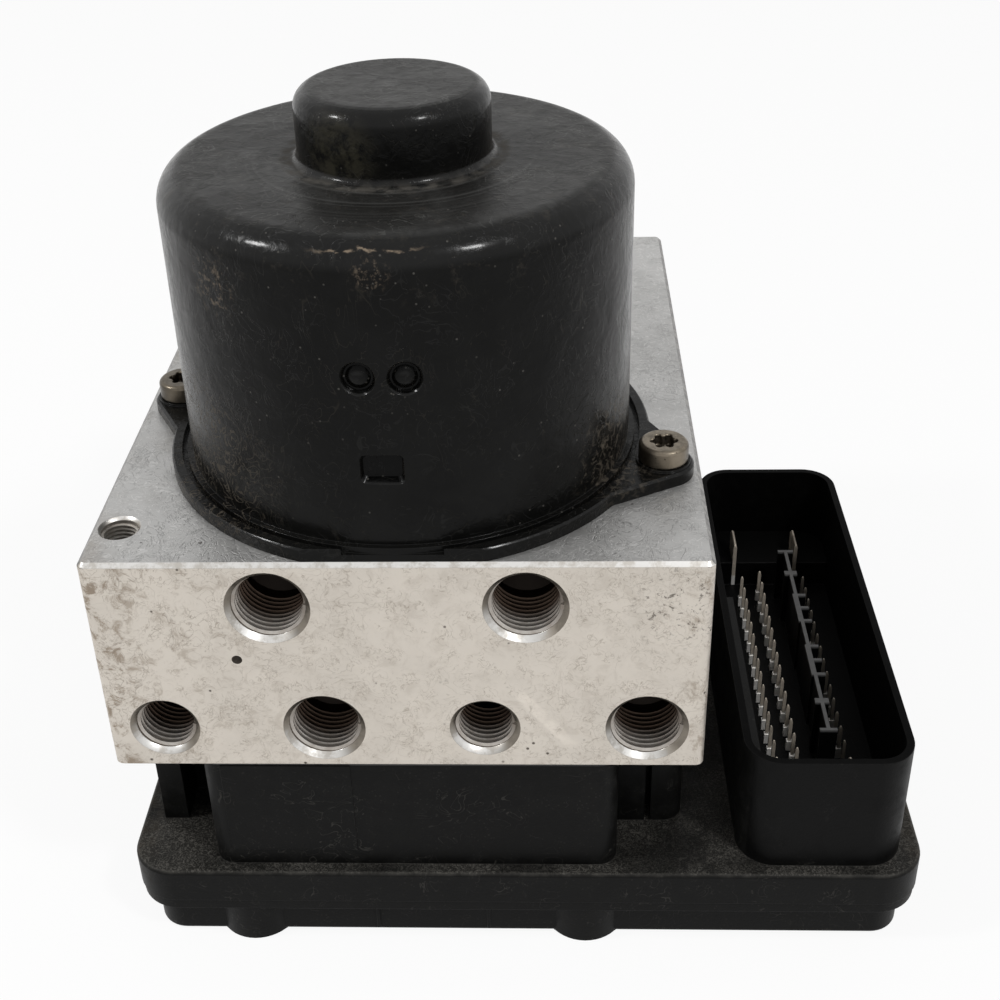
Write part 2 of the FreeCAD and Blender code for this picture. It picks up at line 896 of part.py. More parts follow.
def pump_bore(side):
    """Stepped bore from the block's side to the eccentric's chamber."""
    guide_end = pump_guide_length
    body = revolved([
        (0, 0), (pump_piston_radius, 0), (pump_piston_radius, guide_end), (pump_chamber_bore, guide_end),
        (pump_chamber_bore, side_face - pump_plug_length), (pump_plug_radius, side_face - pump_plug_length),
        (pump_plug_radius, side_face + overrun), (0, side_face + overrun)])
    return lying(body, Vector(side, 0, 0), Vector(0, 0, pump_level))


# Accumulators

def accumulator_level():
    return block_top - accumulator_drop


def accumulator_floor():
    return back_face - accumulator_depth


def accumulator_place(side, y):
    return Vector(side * accumulator_spacing / 2, y, accumulator_level())


def accumulator_bore(side):
    depth = accumulator_depth
    cover = accumulator_cover_thickness
    body = revolved([
        (0, 0), (accumulator_radius, 0), (accumulator_radius, depth - cover),
        (accumulator_cover_radius, depth - cover), (accumulator_cover_radius, depth + overrun),
        (0, depth + overrun)])
    return lying(body, Y_AXIS, accumulator_place(side, accumulator_floor()))


def accumulator_piston_inner():
    return accumulator_radius - running_gap - accumulator_piston_wall


def accumulator_piston(side):
    """Cup-shaped piston with a seal groove, its hollow side facing the spring."""
    outer = accumulator_radius - running_gap
    inner = accumulator_piston_inner()
    floor = accumulator_piston_floor
    length = accumulator_piston_length
    groove = outer - accumulator_seal_depth
    groove_end = accumulator_seal_start + accumulator_seal_width
    body = revolved([
        (0, 0), (outer - small_edge, 0), (outer, small_edge), (outer, accumulator_seal_start),
        (groove, accumulator_seal_start), (groove, groove_end), (outer, groove_end), (outer, length),
        (inner, length), (inner, floor), (0, floor)])
    return lying(body, Y_AXIS, accumulator_place(side, accumulator_floor() + stroke_gap))


def accumulator_cover(side):
    outer = accumulator_cover_radius - seat_gap
    thickness = accumulator_cover_thickness
    dish = thickness - accumulator_cover_dish
    body = revolved([
        (0, 0), (outer, 0), (outer, thickness - small_edge), (outer - small_edge, thickness),
        (outer - accumulator_cover_rim, thickness),
        (outer - accumulator_cover_rim - accumulator_cover_dish, dish), (0, dish)])
    return lying(body, Y_AXIS, accumulator_place(side, back_face - thickness))


def accumulator_covers():
    return Part.makeCompound([accumulator_cover(LEFT), accumulator_cover(RIGHT)])


def accumulator_spring(side):
    start = accumulator_floor() + stroke_gap + accumulator_piston_floor + spring_gap
    end = back_face - accumulator_cover_thickness - spring_gap
    wire = accumulator_spring_wire
    radius = accumulator_piston_inner() - accumulator_spring_gap - wire / 2
    spring = coil_spring(radius, wire, end - start, accumulator_spring_turns)
    return lying(spring, Y_AXIS, accumulator_place(side, start))


# Valves

def valve_x(index):
    return (index - 1.5) * valve_pitch


def valve_places():
    inlets = [(valve_x(index), inlet_row_y) for index in range(4)]
    outlets = [(valve_x(index), outlet_row_y) for index in range(4)]
    return inlets + outlets


def dome_floor():
    return block_floor - dome_length + dome_end_wall


def plunger_bore_radius():
    return dome_radius - dome_wall


def plunger_bore_top():
    return dome_floor() + plunger_length + valve_spring_length + valve_lift


def valve_seat_level():
    return block_floor + valve_depth - valve_seat_depth


def valve_body(x, y):
    """Turned valve cartridge: pressed part in the block, dome below it, one bore through both."""
    top = block_floor + valve_depth
    collar_top = block_floor + valve_collar_length
    bottom = block_floor - dome_length
    bore = plunger_bore_radius()
    pin_bore = plunger_pin_radius + running_gap
    collar = valve_collar_radius - seat_gap
    pressed = valve_radius - seat_gap
    return revolved([
        (0, bottom), (dome_radius - dome_edge, bottom), (dome_radius, bottom + dome_edge),
        (dome_radius, block_floor), (collar, block_floor), (collar, collar_top), (pressed, collar_top),
        (pressed, top - valve_nose_edge), (pressed - valve_nose_edge, top), (valve_orifice_radius, top),
        (valve_orifice_radius, valve_seat_level()), (pin_bore, valve_seat_level()),
        (pin_bore, plunger_bore_top()), (bore, plunger_bore_top()), (bore, dome_floor()),
        (0, dome_floor())], x, y)


def valve_bodies():
    return Part.makeCompound([valve_body(x, y) for x, y in valve_places()])


def plunger(x, y, slug_low, tip):
    """Steel slug with the closing pin on top."""
    slug = plunger_bore_radius() - running_gap
    slug_high = slug_low + plunger_length
    return revolved([
        (0, slug_low), (slug - small_edge, slug_low), (slug, slug_low + small_edge), (slug, slug_high),
        (plunger_pin_radius, slug_high), (plunger_pin_radius, tip - plunger_tip_height),
        (plunger_tip_radius, tip), (0, tip)], x, y)


def inlet_plunger(index):
    """Stands open: it rests at the dome's end, one lift below the seat."""
    low = dome_floor() + seat_gap
    return plunger(valve_x(index), inlet_row_y, low, valve_seat_level() - valve_lift)


def outlet_plunger(index):
    """Stands closed: its spring below holds it on the seat."""
    low = dome_floor() + valve_spring_length + valve_lift / 2
    return plunger(valve_x(index), outlet_row_y, low, valve_seat_level() - seat_gap)


def valve_spring(x, y, low):
    length = valve_spring_length - 2 * spring_gap
    spring = coil_spring(valve_spring_radius, valve_spring_wire, length, valve_spring_turns)
    return spring.translated(Vector(x, y, low + spring_gap))


def inlet_spring(index):
    return valve_spring(valve_x(index), inlet_row_y, dome_floor() + seat_gap + plunger_length)


def outlet_spring(index):
    return valve_spring(valve_x(index), outlet_row_y, dome_floor())


def solenoid_coil(x, y):
    """Round coil on its bobbin, standing on the deck round the valve's dome."""
    low = deck_level
    high = block_floor - coil_top_gap
    return revolved([
        (dome_radius + stroke_gap / 2, low), (coil_radius, low), (coil_radius, low + coil_flange),
        (coil_radius - coil_waist, low + coil_flange), (coil_radius - coil_waist, high - coil_flange),
        (coil_radius, high - coil_flange), (coil_radius, high), (dome_radius + stroke_gap / 2, high)], x, y)


def solenoid_coils():
    return Part.makeCompound([solenoid_coil(x, y) for x, y in valve_places()])


# Valve block

def port_cutter(radius):
    """Threaded pipe port with a countersunk mouth, a drill point and a passage beyond."""
    passage_start = port_depth + (radius - port_passage_radius) * drill_slope
    passage_end = port_depth + radius * drill_slope + port_passage_length
    return revolved([
        (0, -overrun), (radius + port_chamfer + overrun, -overrun), (radius, port_chamfer),
        (radius, port_depth), (port_passage_radius, passage_start), (port_passage_radius, passage_end),
        (0, passage_end)])


def ports():
    large = port_cutter(large_port_radius)
    small = port_cutter(small_port_radius)
    upper = block_top - upper_port_drop
    lower = block_floor + lower_port_rise
    cutters = [lying(large, Y_AXIS, Vector(side * upper_port_spacing / 2, front_face, upper))
               for side in (LEFT, RIGHT)]
    for index in range(4):
        cutter = large if index % 2 else small
        cutters.append(lying(cutter, Y_AXIS, Vector((index - 1.5) * lower_port_pitch, front_face, lower)))
    return cutters


def bracket_hole_cutter(depth):
    """Threaded hole with a countersunk mouth and a drill point."""
    radius = bracket_hole_radius
    return revolved([
        (0, -overrun), (radius + bracket_hole_chamfer + overrun, -overrun), (radius, bracket_hole_chamfer),
        (radius, depth), (0, depth + radius * drill_slope)])


def bracket_holes():
    top_hole = bracket_hole_cutter(bracket_hole_depth)
    side_hole = bracket_hole_cutter(side_hole_depth)
    level = block_floor + side_hole_height
    y = back_face - side_hole_from_back
    cutters = [lying(top_hole, Vector(0, 0, -1),
                     Vector(-side_face + top_hole_from_left, front_face + top_hole_from_front, block_top))]
    for side in (LEFT, RIGHT):
        cutters.append(lying(side_hole, Vector(-side, 0, 0), Vector(side * side_face, y, level)))
    return cutters


def motor_bore():
    """Bore under the motor: bearing seat, pump chamber and the seat of the shaft's bush."""
    chamber_floor = block_top - pump_chamber_floor
    return revolved([
        (0, chamber_floor - bush_length), (bush_radius + seat_gap, chamber_floor - bush_length),
        (bush_radius + seat_gap, chamber_floor), (pump_chamber_radius, chamber_floor),
        (pump_chamber_radius, shaft_step()), (bearing_radius, shaft_step()),
        (bearing_radius, block_top + overrun), (0, block_top + overrun)])


def valve_bore(x, y):
    collar_top = block_floor + valve_collar_length
    mouth = block_floor - overrun
    return revolved([
        (0, mouth), (valve_collar_radius, mouth), (valve_collar_radius, collar_top),
        (valve_radius, collar_top), (valve_radius, block_floor + valve_depth),
        (0, block_floor + valve_depth)], x, y)


def unit_screw_places():
    """Centres of the control unit's screws, the front pair first."""
    rows = ((front_screw_inset, front_face + unit_screw_from_front),
            (rear_screw_inset, back_face - unit_screw_from_back))
    return [(side * (side_face - inset), y) for inset, y in rows for side in (LEFT, RIGHT)]


def closing_ball_places():
    level = block_floor + closing_ball_height
    return [(side, y, level) for side in (LEFT, RIGHT) for y in (closing_ball_front_y, closing_ball_back_y)]


def closing_ball_bores():
    bore = cylinder(closing_ball_radius + seat_gap, 0, closing_ball_bore)
    return [lying(bore, Vector(-side, 0, 0), Vector(side * side_face, y, level))
            for side, y, level in closing_ball_places()]


def closing_balls():
    """Pressed balls that close the drilled passages on both sides."""
    depth = side_face - closing_ball_sink - closing_ball_radius
    return Part.makeCompound([Part.makeSphere(closing_ball_radius, Vector(side * depth, y, level))
                              for side, y, level in closing_ball_places()])


def front_pit():
    pit = Part.makeCone(front_pit_radius, front_pit_radius - front_pit_depth, front_pit_depth)
    x = -side_face + front_pit_from_left
    return lying(pit, Y_AXIS, Vector(x, front_face, block_top - front_pit_drop))


def hydraulic_block():
    body = cuboid(-side_face, side_face, front_face, back_face, block_floor, block_top)
    body = body.makeFillet(block_corner, upright_edges(body))
    body = body.makeChamfer(block_chamfer, level_edges(body, block_top) + level_edges(body, block_floor))
    seal_outer = can_seal_middle() + can_seal_width / 2
    seal_inner = can_seal_middle() - can_seal_width / 2
    below = block_floor - overrun
    above = block_top + overrun
    cutters = ports() + bracket_holes() + closing_ball_bores() + [front_pit()]
    cutters.append(motor_bore())
    cutters.append(tube(seal_outer, seal_inner, block_top - can_seal_depth, above))
    cutters.append(cylinder(supply_sleeve_radius, below, above, 0, supply_y))
    cutters += [valve_bore(x, y) for x, y in valve_places()]
    cutters += [pump_bore(side) for side in (LEFT, RIGHT)]
    cutters += [accumulator_bore(side) for side in (LEFT, RIGHT)]
    cutters += [cylinder(motor_screw_radius, block_top - motor_screw_depth, above, x, y)
                for x, y in motor_screw_places()]
    cutters += [cylinder(unit_screw_radius, below, block_floor + unit_screw_in_block + overrun, x, y)
                for x, y in unit_screw_places()]
    return body.cut(cutters)


# Control unit

def plate_prism(inset, low, high):
    """Upright prism on the plate's outline, drawn in by the inset."""
    return rounded_cuboid(plate_left + inset, plate_right - inset, plate_front + inset, plate_back - inset,
                          low, high, plate_corner - inset)


def neck_outline():
    """Outline of the neck: front box, the post on its left and the slotted panel on its right."""
    shoulder = front_face + neck_shoulder_setback
    post = neck_left + post_width
    slot_left = panel_slot_right - panel_slot_width
    slot_end = shoulder + panel_slot_depth
    recess = shoulder + post_recess_depth
    return [(-neck_box, neck_front), (neck_box, neck_front), (neck_box, shoulder),
            (slot_left, shoulder), (slot_left, slot_end), (panel_slot_right, slot_end),
            (panel_slot_right, shoulder), (neck_right, shoulder), (neck_right, neck_back),
            (neck_left, neck_back), (neck_left, shoulder), (post, shoulder), (post, recess),
            (-neck_box, recess)]


def neck_body(low, high):
    body = prism(neck_outline(), low, high)
    corners = [edge for edge in upright_edges(body) if is_neck_corner(edge.Vertexes[0].Point)]
    return body.makeFillet(neck_corner_radius, corners)


def is_neck_corner(point):
    on_front = abs(point.y - neck_front) < 1e-6
    on_back = abs(point.y - neck_back) < 1e-6
    on_right = abs(point.x - neck_right) < 1e-6
    return on_front or on_back or on_right


def neck_cavity(low, high):
    """Room for the coils: narrow in the front box, wide behind the post's recess."""
    middle = front_face + neck_shoulder_setback + post_recess_depth + neck_wall
    box = neck_box - neck_wall
    corner = neck_corner - neck_wall
    narrow = rounded_cuboid(-box, box, neck_front + neck_wall, middle + neck_corner, low, high, corner)
    wide = rounded_cuboid(neck_left + neck_wall, neck_right - neck_wall, middle, neck_back - neck_wall,
                          low, high, corner)
    return combined([narrow, wide])


def neck_panel():
    """Slightly raised field on the left half of the neck's front."""
    left = -neck_box + neck_corner
    return cuboid(left, left + neck_panel_width, neck_front - neck_panel_proud, neck_front + overlap,
                  deck_level + neck_panel_rise, neck_top)


def pin_places():
    """Centre of every signal pin, in three columns along the socket."""
    columns = ((inner_pin_inset, inner_pin_count), (middle_pin_inset, middle_pin_count),
               (outer_pin_inset, outer_pin_count))
    places = []
    for inset, count in columns:
        for index in range(count):
            places.append((socket_left + inset, socket_middle + (index - (count - 1) / 2) * pin_pitch))
    return places


def blade_places():
    """Centre of every power blade, one at each corner of the pin field."""
    ends = (socket_front + socket_wall + blade_from_end, socket_back - socket_wall - blade_from_end)
    return [(socket_left + inset, y) for inset in (inner_blade_inset, outer_blade_inset) for y in ends]


def coding_key():
    """Upright coding wall of the socket with its tees, blocks and toothed bays."""
    low = socket_base - overlap
    high = socket_base + key_height
    half = key_thickness / 2
    x = socket_left + key_inset

    def piece(x_low, x_high, y, length):
        return cuboid(x + x_low, x + x_high, socket_middle + y - length / 2,
                      socket_middle + y + length / 2, low, high)

    pieces = [piece(-half, half, 0, 2 * key_half_length)]
    bay_length = 2 * key_bay_pitch + key_thickness
    for end in (-1, 1):
        pieces.append(piece(-key_tee_width / 2, key_tee_width / 2, end * key_half_length, key_thickness))
        pieces.append(piece(-key_block / 2, key_block / 2, end * key_block_place, key_block / 2))
        bay_middle = end * (key_bay_start + key_bay_pitch)
        pieces.append(piece(-key_thickness, 0, bay_middle, bay_length))
        for tooth in (-1, 0, 1):
            pieces.append(piece(0, key_tooth + half, bay_middle + tooth * key_bay_pitch, key_thickness))
    return pieces


def socket_room(inset, low, high):
    """Upright prism on the socket's outline, drawn in by the inset."""
    return rounded_cuboid(socket_left + inset, socket_right - inset, socket_front + inset,
                          socket_back - inset, low, high, socket_corner - inset)


def side_rib(gap):
    """Rib on the socket's left wall, grown by the gap where it passes the contact plate."""
    start = socket_front + rib_from_front
    return cuboid(socket_left + socket_wall - overlap, socket_left + socket_wall + rib_width + gap,
                  start - gap, start + rib_length + gap, deck_level - overlap, socket_top - rib_drop)


def plug_shroud():
    """Deep wall round the plug with its side rib."""
    shell = socket_room(0, tray_roof, socket_top)
    shell = shell.cut(socket_room(socket_wall, deck_level, socket_top))
    return shell.fuse(side_rib(0))


def contact_window():
    """Opening in the deck under the contact plate, leaving a ledge that carries it."""
    inset = socket_wall + carrier_ledge
    return cuboid(socket_left + inset, socket_right - inset, socket_front + inset, socket_back - inset,
                  tray_roof - overrun, deck_level + overlap)


def pin_carrier():
    """Contact plate of the plug socket with its raised ends and coding wall."""
    body = socket_room(socket_wall + seat_gap, deck_level, step_top)
    step = socket_wall + socket_step_length
    well = cuboid(socket_left, socket_right, socket_front + step, socket_back - step, socket_base, step_top)
    body = combined([body.cut(well)] + coding_key())
    return body.cut([side_rib(seat_gap)] + contact_holes())


def contact_holes():
    low = deck_level - overrun
    high = step_top + overrun
    half = pin_root_width / 2 + seat_gap
    cutters = [cuboid(x - half, x + half, y - half, y + half, low, high) for x, y in pin_places()]
    half_x = blade_thickness / 2 + seat_gap
    half_y = blade_length / 2 + seat_gap
    cutters += [cuboid(x - half_x, x + half_x, y - half_y, y + half_y, low, high)
                for x, y in blade_places()]
    return cutters


def ecu_housing():
    """One moulding: tray for the board, neck for the coils and the shroud of the plug socket."""
    body = plate_prism(0, split_level, deck_level)
    body = body.makeFillet(deck_edge, level_edges(body, deck_level))
    body = body.cut(plate_prism(rim_wall, split_level - overrun, tray_roof))
    neck = neck_body(deck_level - deck_edge, neck_top)
    body = combined([body, neck, neck_panel(), plug_shroud()])
    body = body.cut(neck_cavity(deck_level, neck_top))
    posts = []
    for x, y in unit_screw_places():
        posts.append(cylinder(pillar_radius, deck_level - overlap, block_floor, x, y))
        posts.append(cylinder(pillar_radius, board_top, tray_roof + overlap, x, y))
        posts.append(cylinder(column_radius, split_level, board_top + overlap, x, y))
    body = combined([body] + posts)
    holes = [cylinder(unit_screw_radius + stroke_gap, split_level - overrun, block_floor + overrun, x, y)
             for x, y in unit_screw_places()]
    holes += [supply_hole(side, tray_roof - overrun, deck_level + overrun) for side in (LEFT, RIGHT)]
    return body.cut(holes + [contact_window()])


def front_rib(x):
    """Thin upright rib on the cover's front wall."""
    wall = plate_front + cover_inset
    return cuboid(x - cover_rib_width / 2, x + cover_rib_width / 2, wall - cover_rib_depth, wall + overlap,
                  cover_edge, cover_height + overlap)


def ecu_cover():
    """Shallow pan with a lip, and a half-round tower at each screw."""
    lip = plate_prism(cover_lip_inset, cover_height, split_level)
    pan = plate_prism(cover_inset, 0, cover_height + overlap)
    pan = pan.makeFillet(cover_edge, level_edges(pan, 0))
    body = combined([lip, pan, front_rib(left_rib_x), front_rib(right_rib_x)])
    body = body.cut(plate_prism(cover_inset + cover_wall, cover_wall, split_level + overrun))
    towers = [cylinder(tower_radius, 0, cover_height + overlap, x, y) for x, y in unit_screw_places()[:2]]
    envelope = plate_prism(cover_lip_inset, 0, split_level)
    towers += [cylinder(cover_boss_radius, 0, split_level, x, y) for x, y in unit_screw_places()]
    body = combined([body] + [tower.common(envelope) for tower in towers])
    head_room = unit_screw_head_radius + stroke_gap
    head_seat = unit_screw_head_sink + unit_screw_head_height
    for x, y in unit_screw_places():
        body = body.cut(cylinder(head_room, -overrun, head_seat, x, y))
        body = body.cut(cylinder(unit_screw_radius + stroke_gap, 0, split_level + overrun, x, y))
    return body


def unit_screw(x, y):
    head_low = unit_screw_head_sink
    seat = head_low + unit_screw_head_height
    tip = block_floor + unit_screw_in_block
    shank = unit_screw_radius - running_gap
    head = unit_screw_head_radius
    screw = revolved([
        (0, head_low), (head - small_edge, head_low), (head, head_low + small_edge), (head, seat),
        (shank, seat), (shank, tip - small_edge), (shank - small_edge, tip), (0, tip)])
    socket = six_lobe_socket(motor_screw_socket_radius, motor_screw_socket_lobe, head_low - overrun,
                             head_low + motor_screw_socket_depth)
    return screw.cut(socket).translated(Vector(x, y, 0))


def unit_screws():
    return Part.makeCompound([unit_screw(x, y) for x, y in unit_screw_places()])


def unit_gasket():
    """Flat seal on the neck's rim under the block."""
    low = neck_top - overrun
    high = block_floor + overrun
    body = neck_body(neck_top, block_floor).cut(neck_cavity(low, high))
    rooms = [cylinder(pillar_radius + seat_gap, low, high, x, y) for x, y in unit_screw_places()]
    return body.cut(rooms)


def circuit_board():
    body = plate_prism(rim_wall + board_gap, board_bottom, board_top)
    holes = [cylinder(column_radius + stroke_gap, board_bottom - overrun, board_top + overrun, x, y)
             for x, y in unit_screw_places()]
    return body.cut(holes)


def board_components():
    """Processor, two driver chips and two capacitors under the board."""
    middle = (front_face + back_face) / 2

    def chip(x, y, size):
        return cuboid(x - size / 2, x + size / 2, y - size / 2, y + size / 2, board_bottom - chip_height,
                      board_bottom)

    bodies = [chip(0, middle, processor_size)]
    for side in (LEFT, RIGHT):
        bodies.append(chip(side * driver_offset, middle, driver_size))
        bodies.append(cylinder(capacitor_radius, board_bottom - capacitor_height, board_bottom,
                               side * capacitor_offset_x, middle + capacitor_offset_y))
    return Part.makeCompound(bodies)


def signal_pin(x, y):
    """Square pin with a wider root in the socket's floor and a pointed tip."""
    half = pin_width / 2
    root_half = pin_root_width / 2
    root_top = socket_base + pin_root_height
    tip = socket_base + pin_height
    root = cuboid(x - root_half, x + root_half, y - root_half, y + root_half, board_top, root_top)
    shaft = cuboid(x - half, x + half, y - half, y + half, root_top, tip - pin_tip)
    point = tapered_tip(x, y, half, half, tip - pin_tip, tip)
    return combined([root, shaft, point])


def tapered_tip(x, y, half_x, half_y, low, high):
    """Four-sided tip drawn in evenly from the given half sizes."""
    wires = []
    for level, share in ((low, 1.0), (high, tip_share)):
        corners = [Vector(x + share_x * half_x * share, y + share_y * (half_y - half_x * (1 - share)), level)
                   for share_x, share_y in ((-1, -1), (1, -1), (1, 1), (-1, 1))]
        wires.append(Part.makePolygon(corners + corners[:1]))
    return Part.makeLoft(wires, True, True)


def signal_pins():
    return Part.makeCompound([signal_pin(x, y) for x, y in pin_places()])


def power_blade(x, y):
    half_x, half_y = blade_thickness / 2, blade_length / 2
    tip = socket_base + blade_height
    shaft = cuboid(x - half_x, x + half_x, y - half_y, y + half_y, board_top, tip - blade_tip)
    return combined([shaft, tapered_tip(x, y, half_x, half_y, tip - blade_tip, tip)])


def power_blades():
    return Part.makeCompound([power_blade(x, y) for x, y in blade_places()])


def all_pieces():
    pieces = {
        "hydraulic_block": hydraulic_block(),
        "motor_housing": motor_housing(),
        "motor_screws": motor_screws(),
        "motor_seal": motor_seal(),
        "motor_magnets": magnets(),
        "armature_shaft": armature_shaft(),
        "armature_core": armature_core(),
        "armature_windings": armature_windings(),
        "commutator": commutator(),
        "upper_bearing": upper_bearing(),
        "lower_bearing": lower_bearing(),
        "shaft_bush": shaft_bush(),
        "brush_plate": brush_plate(),
        "supply_pins": supply_pins(),
        "supply_sleeve": supply_sleeve(),
        "eccentric": eccentric(),
        "eccentric_ring": eccentric_ring(),
        "pump_plugs": pump_plugs(),
        "accumulator_covers": accumulator_covers(),
        "closing_balls": closing_balls(),
        "valve_bodies": valve_bodies(),
        "solenoid_coils": solenoid_coils(),
        "ecu_housing": ecu_housing(),
        "ecu_cover": ecu_cover(),
        "pin_carrier": pin_carrier(),
        "unit_screws": unit_screws(),
        "unit_gasket": unit_gasket(),
        "circuit_board": circuit_board(),
        "board_components": board_components(),
        "signal_pins": signal_pins(),
        "power_blades": power_blades(),
    }
    for name, side in (("left", LEFT), ("right", RIGHT)):
        pieces["brush_" + name] = brush(side)
        pieces["brush_spring_" + name] = brush_spring(side)
        pieces["pump_piston_" + name] = pump_piston(side)
        pieces["pump_spring_" + name] = pump_spring(side)
        pieces["accumulator_piston_" + name] = accumulator_piston(side)
        pieces["accumulator_spring_" + name] = accumulator_spring(side)
    for index in range(4):
        number = str(index + 1)
        pieces["inlet_plunger_" + number] = inlet_plunger(index)
        pieces["inlet_spring_" + number] = inlet_spring(index)
        pieces["outlet_plunger_" + number] = outlet_plunger(index)
        pieces["outlet_spring_" + number] = outlet_spring(index)
    return pieces


os.makedirs("parts", exist_ok=True)
for piece_name, piece_shape in all_pieces().items():
    piece_shape.exportStep("parts/" + piece_name + ".step")
    print(piece_name, len(piece_shape.Solids), round(piece_shape.Volume, 1), piece_shape.isValid())
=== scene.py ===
"""Looks of the anti-lock brake module, laid out as an add-on and run as a script.

Every size is in metres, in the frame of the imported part: +Z up, -Y towards the pipe ports. Only the
patterns and places inside the finishes are in millimetres.
"""
import json
import math

import bpy
from bpy.props import FloatProperty, FloatVectorProperty, PointerProperty
from mathutils import Matrix, Vector


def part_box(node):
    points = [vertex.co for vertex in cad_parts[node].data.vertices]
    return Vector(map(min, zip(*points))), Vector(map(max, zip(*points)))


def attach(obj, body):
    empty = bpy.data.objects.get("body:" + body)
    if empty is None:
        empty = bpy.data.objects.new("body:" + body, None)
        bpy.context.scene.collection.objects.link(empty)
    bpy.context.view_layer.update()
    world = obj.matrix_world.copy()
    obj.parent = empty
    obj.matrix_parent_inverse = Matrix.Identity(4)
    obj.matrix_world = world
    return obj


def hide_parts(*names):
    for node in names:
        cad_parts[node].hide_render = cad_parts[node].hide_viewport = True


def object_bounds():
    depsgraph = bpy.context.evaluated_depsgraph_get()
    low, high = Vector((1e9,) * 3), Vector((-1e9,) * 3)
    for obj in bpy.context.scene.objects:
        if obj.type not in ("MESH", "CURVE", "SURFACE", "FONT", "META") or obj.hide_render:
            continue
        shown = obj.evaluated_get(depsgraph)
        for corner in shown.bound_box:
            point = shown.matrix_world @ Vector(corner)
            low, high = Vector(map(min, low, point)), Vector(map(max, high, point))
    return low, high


bl_info = {
    "name": "Brake Module Looks",
    "version": (1, 0, 0),
    "blender": (4, 5, 0),
    "location": "View3D > Sidebar > Brake Module",
    "description": "Finishes and fine shapes of an anti-lock brake module",
    "category": "Object",
}

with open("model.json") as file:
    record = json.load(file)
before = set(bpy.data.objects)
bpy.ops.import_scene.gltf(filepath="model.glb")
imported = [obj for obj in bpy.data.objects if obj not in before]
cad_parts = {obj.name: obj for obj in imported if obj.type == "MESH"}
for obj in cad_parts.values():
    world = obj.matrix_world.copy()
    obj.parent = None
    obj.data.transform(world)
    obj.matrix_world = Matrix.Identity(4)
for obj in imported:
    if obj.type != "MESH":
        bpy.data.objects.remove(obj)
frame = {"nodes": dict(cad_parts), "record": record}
cad_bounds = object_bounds()
block_low, block_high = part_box("hydraulic_block")
housing_low, housing_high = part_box("ecu_housing")
carrier_low, carrier_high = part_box("pin_carrier")
can_low, can_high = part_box("motor_housing")

MM = 1000.0  # millimetres in a metre

# Sizes that no box of a node gives

BOSS_HEIGHT = 0.0112  # from the motor's flat top to the top of its boss
RIM_HEIGHT = 0.0070  # from the housing's lowest edge to the top of its plate
CARRIER_THICKNESS = 0.0025  # of the plate that the pins stand in
DENT_PLACE = Vector((-0.0265, block_low.y, 0.06465))  # of the small dent in the block's front
DENT_REACH = 0.0016  # from the dent's middle to just outside it
CHAMFER_DEPTH = 0.0011  # of a threaded hole's chamfer, with room
CHAMFER_REACH = 0.0014  # from a threaded hole's wall to just outside its chamfer
PASSAGE_LENGTH = 0.006  # of the passage behind a threaded hole, with room
RECESS_REACH = 0.0029  # from a screw's axis to just outside its driver recess
RECESS_DEPTH = 0.0030  # from a screw's top to well under its driver recess
TOP_EDGE = 0.0009  # height of the block's broken top edges, with room
FRONT_EDGE = 0.0016  # depth of the block's broken front edges, with room
SKIN = 0.0002  # room for telling a face from its neighbours

# Parts of a face's normal along an axis

FLAT = 0.97  # a flat face has more than this
SLANT = 0.3  # a chamfer has more than this

# Shares of a thread's ridge

RIDGE_FOOT = 0.76  # of the pitch, at the wall
RIDGE_CREST = 0.30  # of the foot, at the crest
RIDGE_SINK = 0.3  # of the height, hidden in the wall
RIDGE_STEPS = 40  # corners in one turn
HOLE_THREAD = 0.68  # a bracket hole's thread against a pipe port's

# Limits of the modelling and the stage

SHARP_ANGLE = math.radians(32)  # edges sharper than this are rounded
SMOOTH_ANGLE = math.radians(38)  # edges blunter than this are shaded smoothly
FOLDS_ALLOWED = 2e-8  # folded area in square metres that doesn't show
FLOOR_GAP = 0.00005  # from the floor to the part
FLOOR_WHITE = 0.90  # how far the floor is plain white to the camera


# Settings a user would change

COLOUR = {"subtype": "COLOR", "min": 0, "max": 1}


class BlockLook(bpy.types.PropertyGroup):
    """Valve block."""
    front_colour: FloatVectorProperty(name="Front", description="Machined front face",
                                      default=(0.64, 0.59, 0.525), **COLOUR)
    top_colour: FloatVectorProperty(name="Top", description="Milled top face",
                                    default=(0.445, 0.440, 0.430), **COLOUR)
    side_colour: FloatVectorProperty(name="Sides", description="Sides, back and underside",
                                     default=(0.48, 0.45, 0.42), **COLOUR)
    stain_colour: FloatVectorProperty(name="Stain", description="Brown film on the faces",
                                      default=(0.30, 0.245, 0.19), **COLOUR)
    edge_width: FloatProperty(name="Broken edge", description="Width of the broken edges",
                              default=0.00016, unit="LENGTH")
    thread_pitch: FloatProperty(name="Thread pitch", description="Between two ridges of a pipe port",
                                default=0.0011, unit="LENGTH")
    thread_height: FloatProperty(name="Thread height", description="How far the ridges stand into the port",
                                 default=0.0005, unit="LENGTH")
    thread_lead: FloatProperty(name="Plain lead", description="From the mouth to the thread's first turn",
                               default=0.0008, unit="LENGTH")


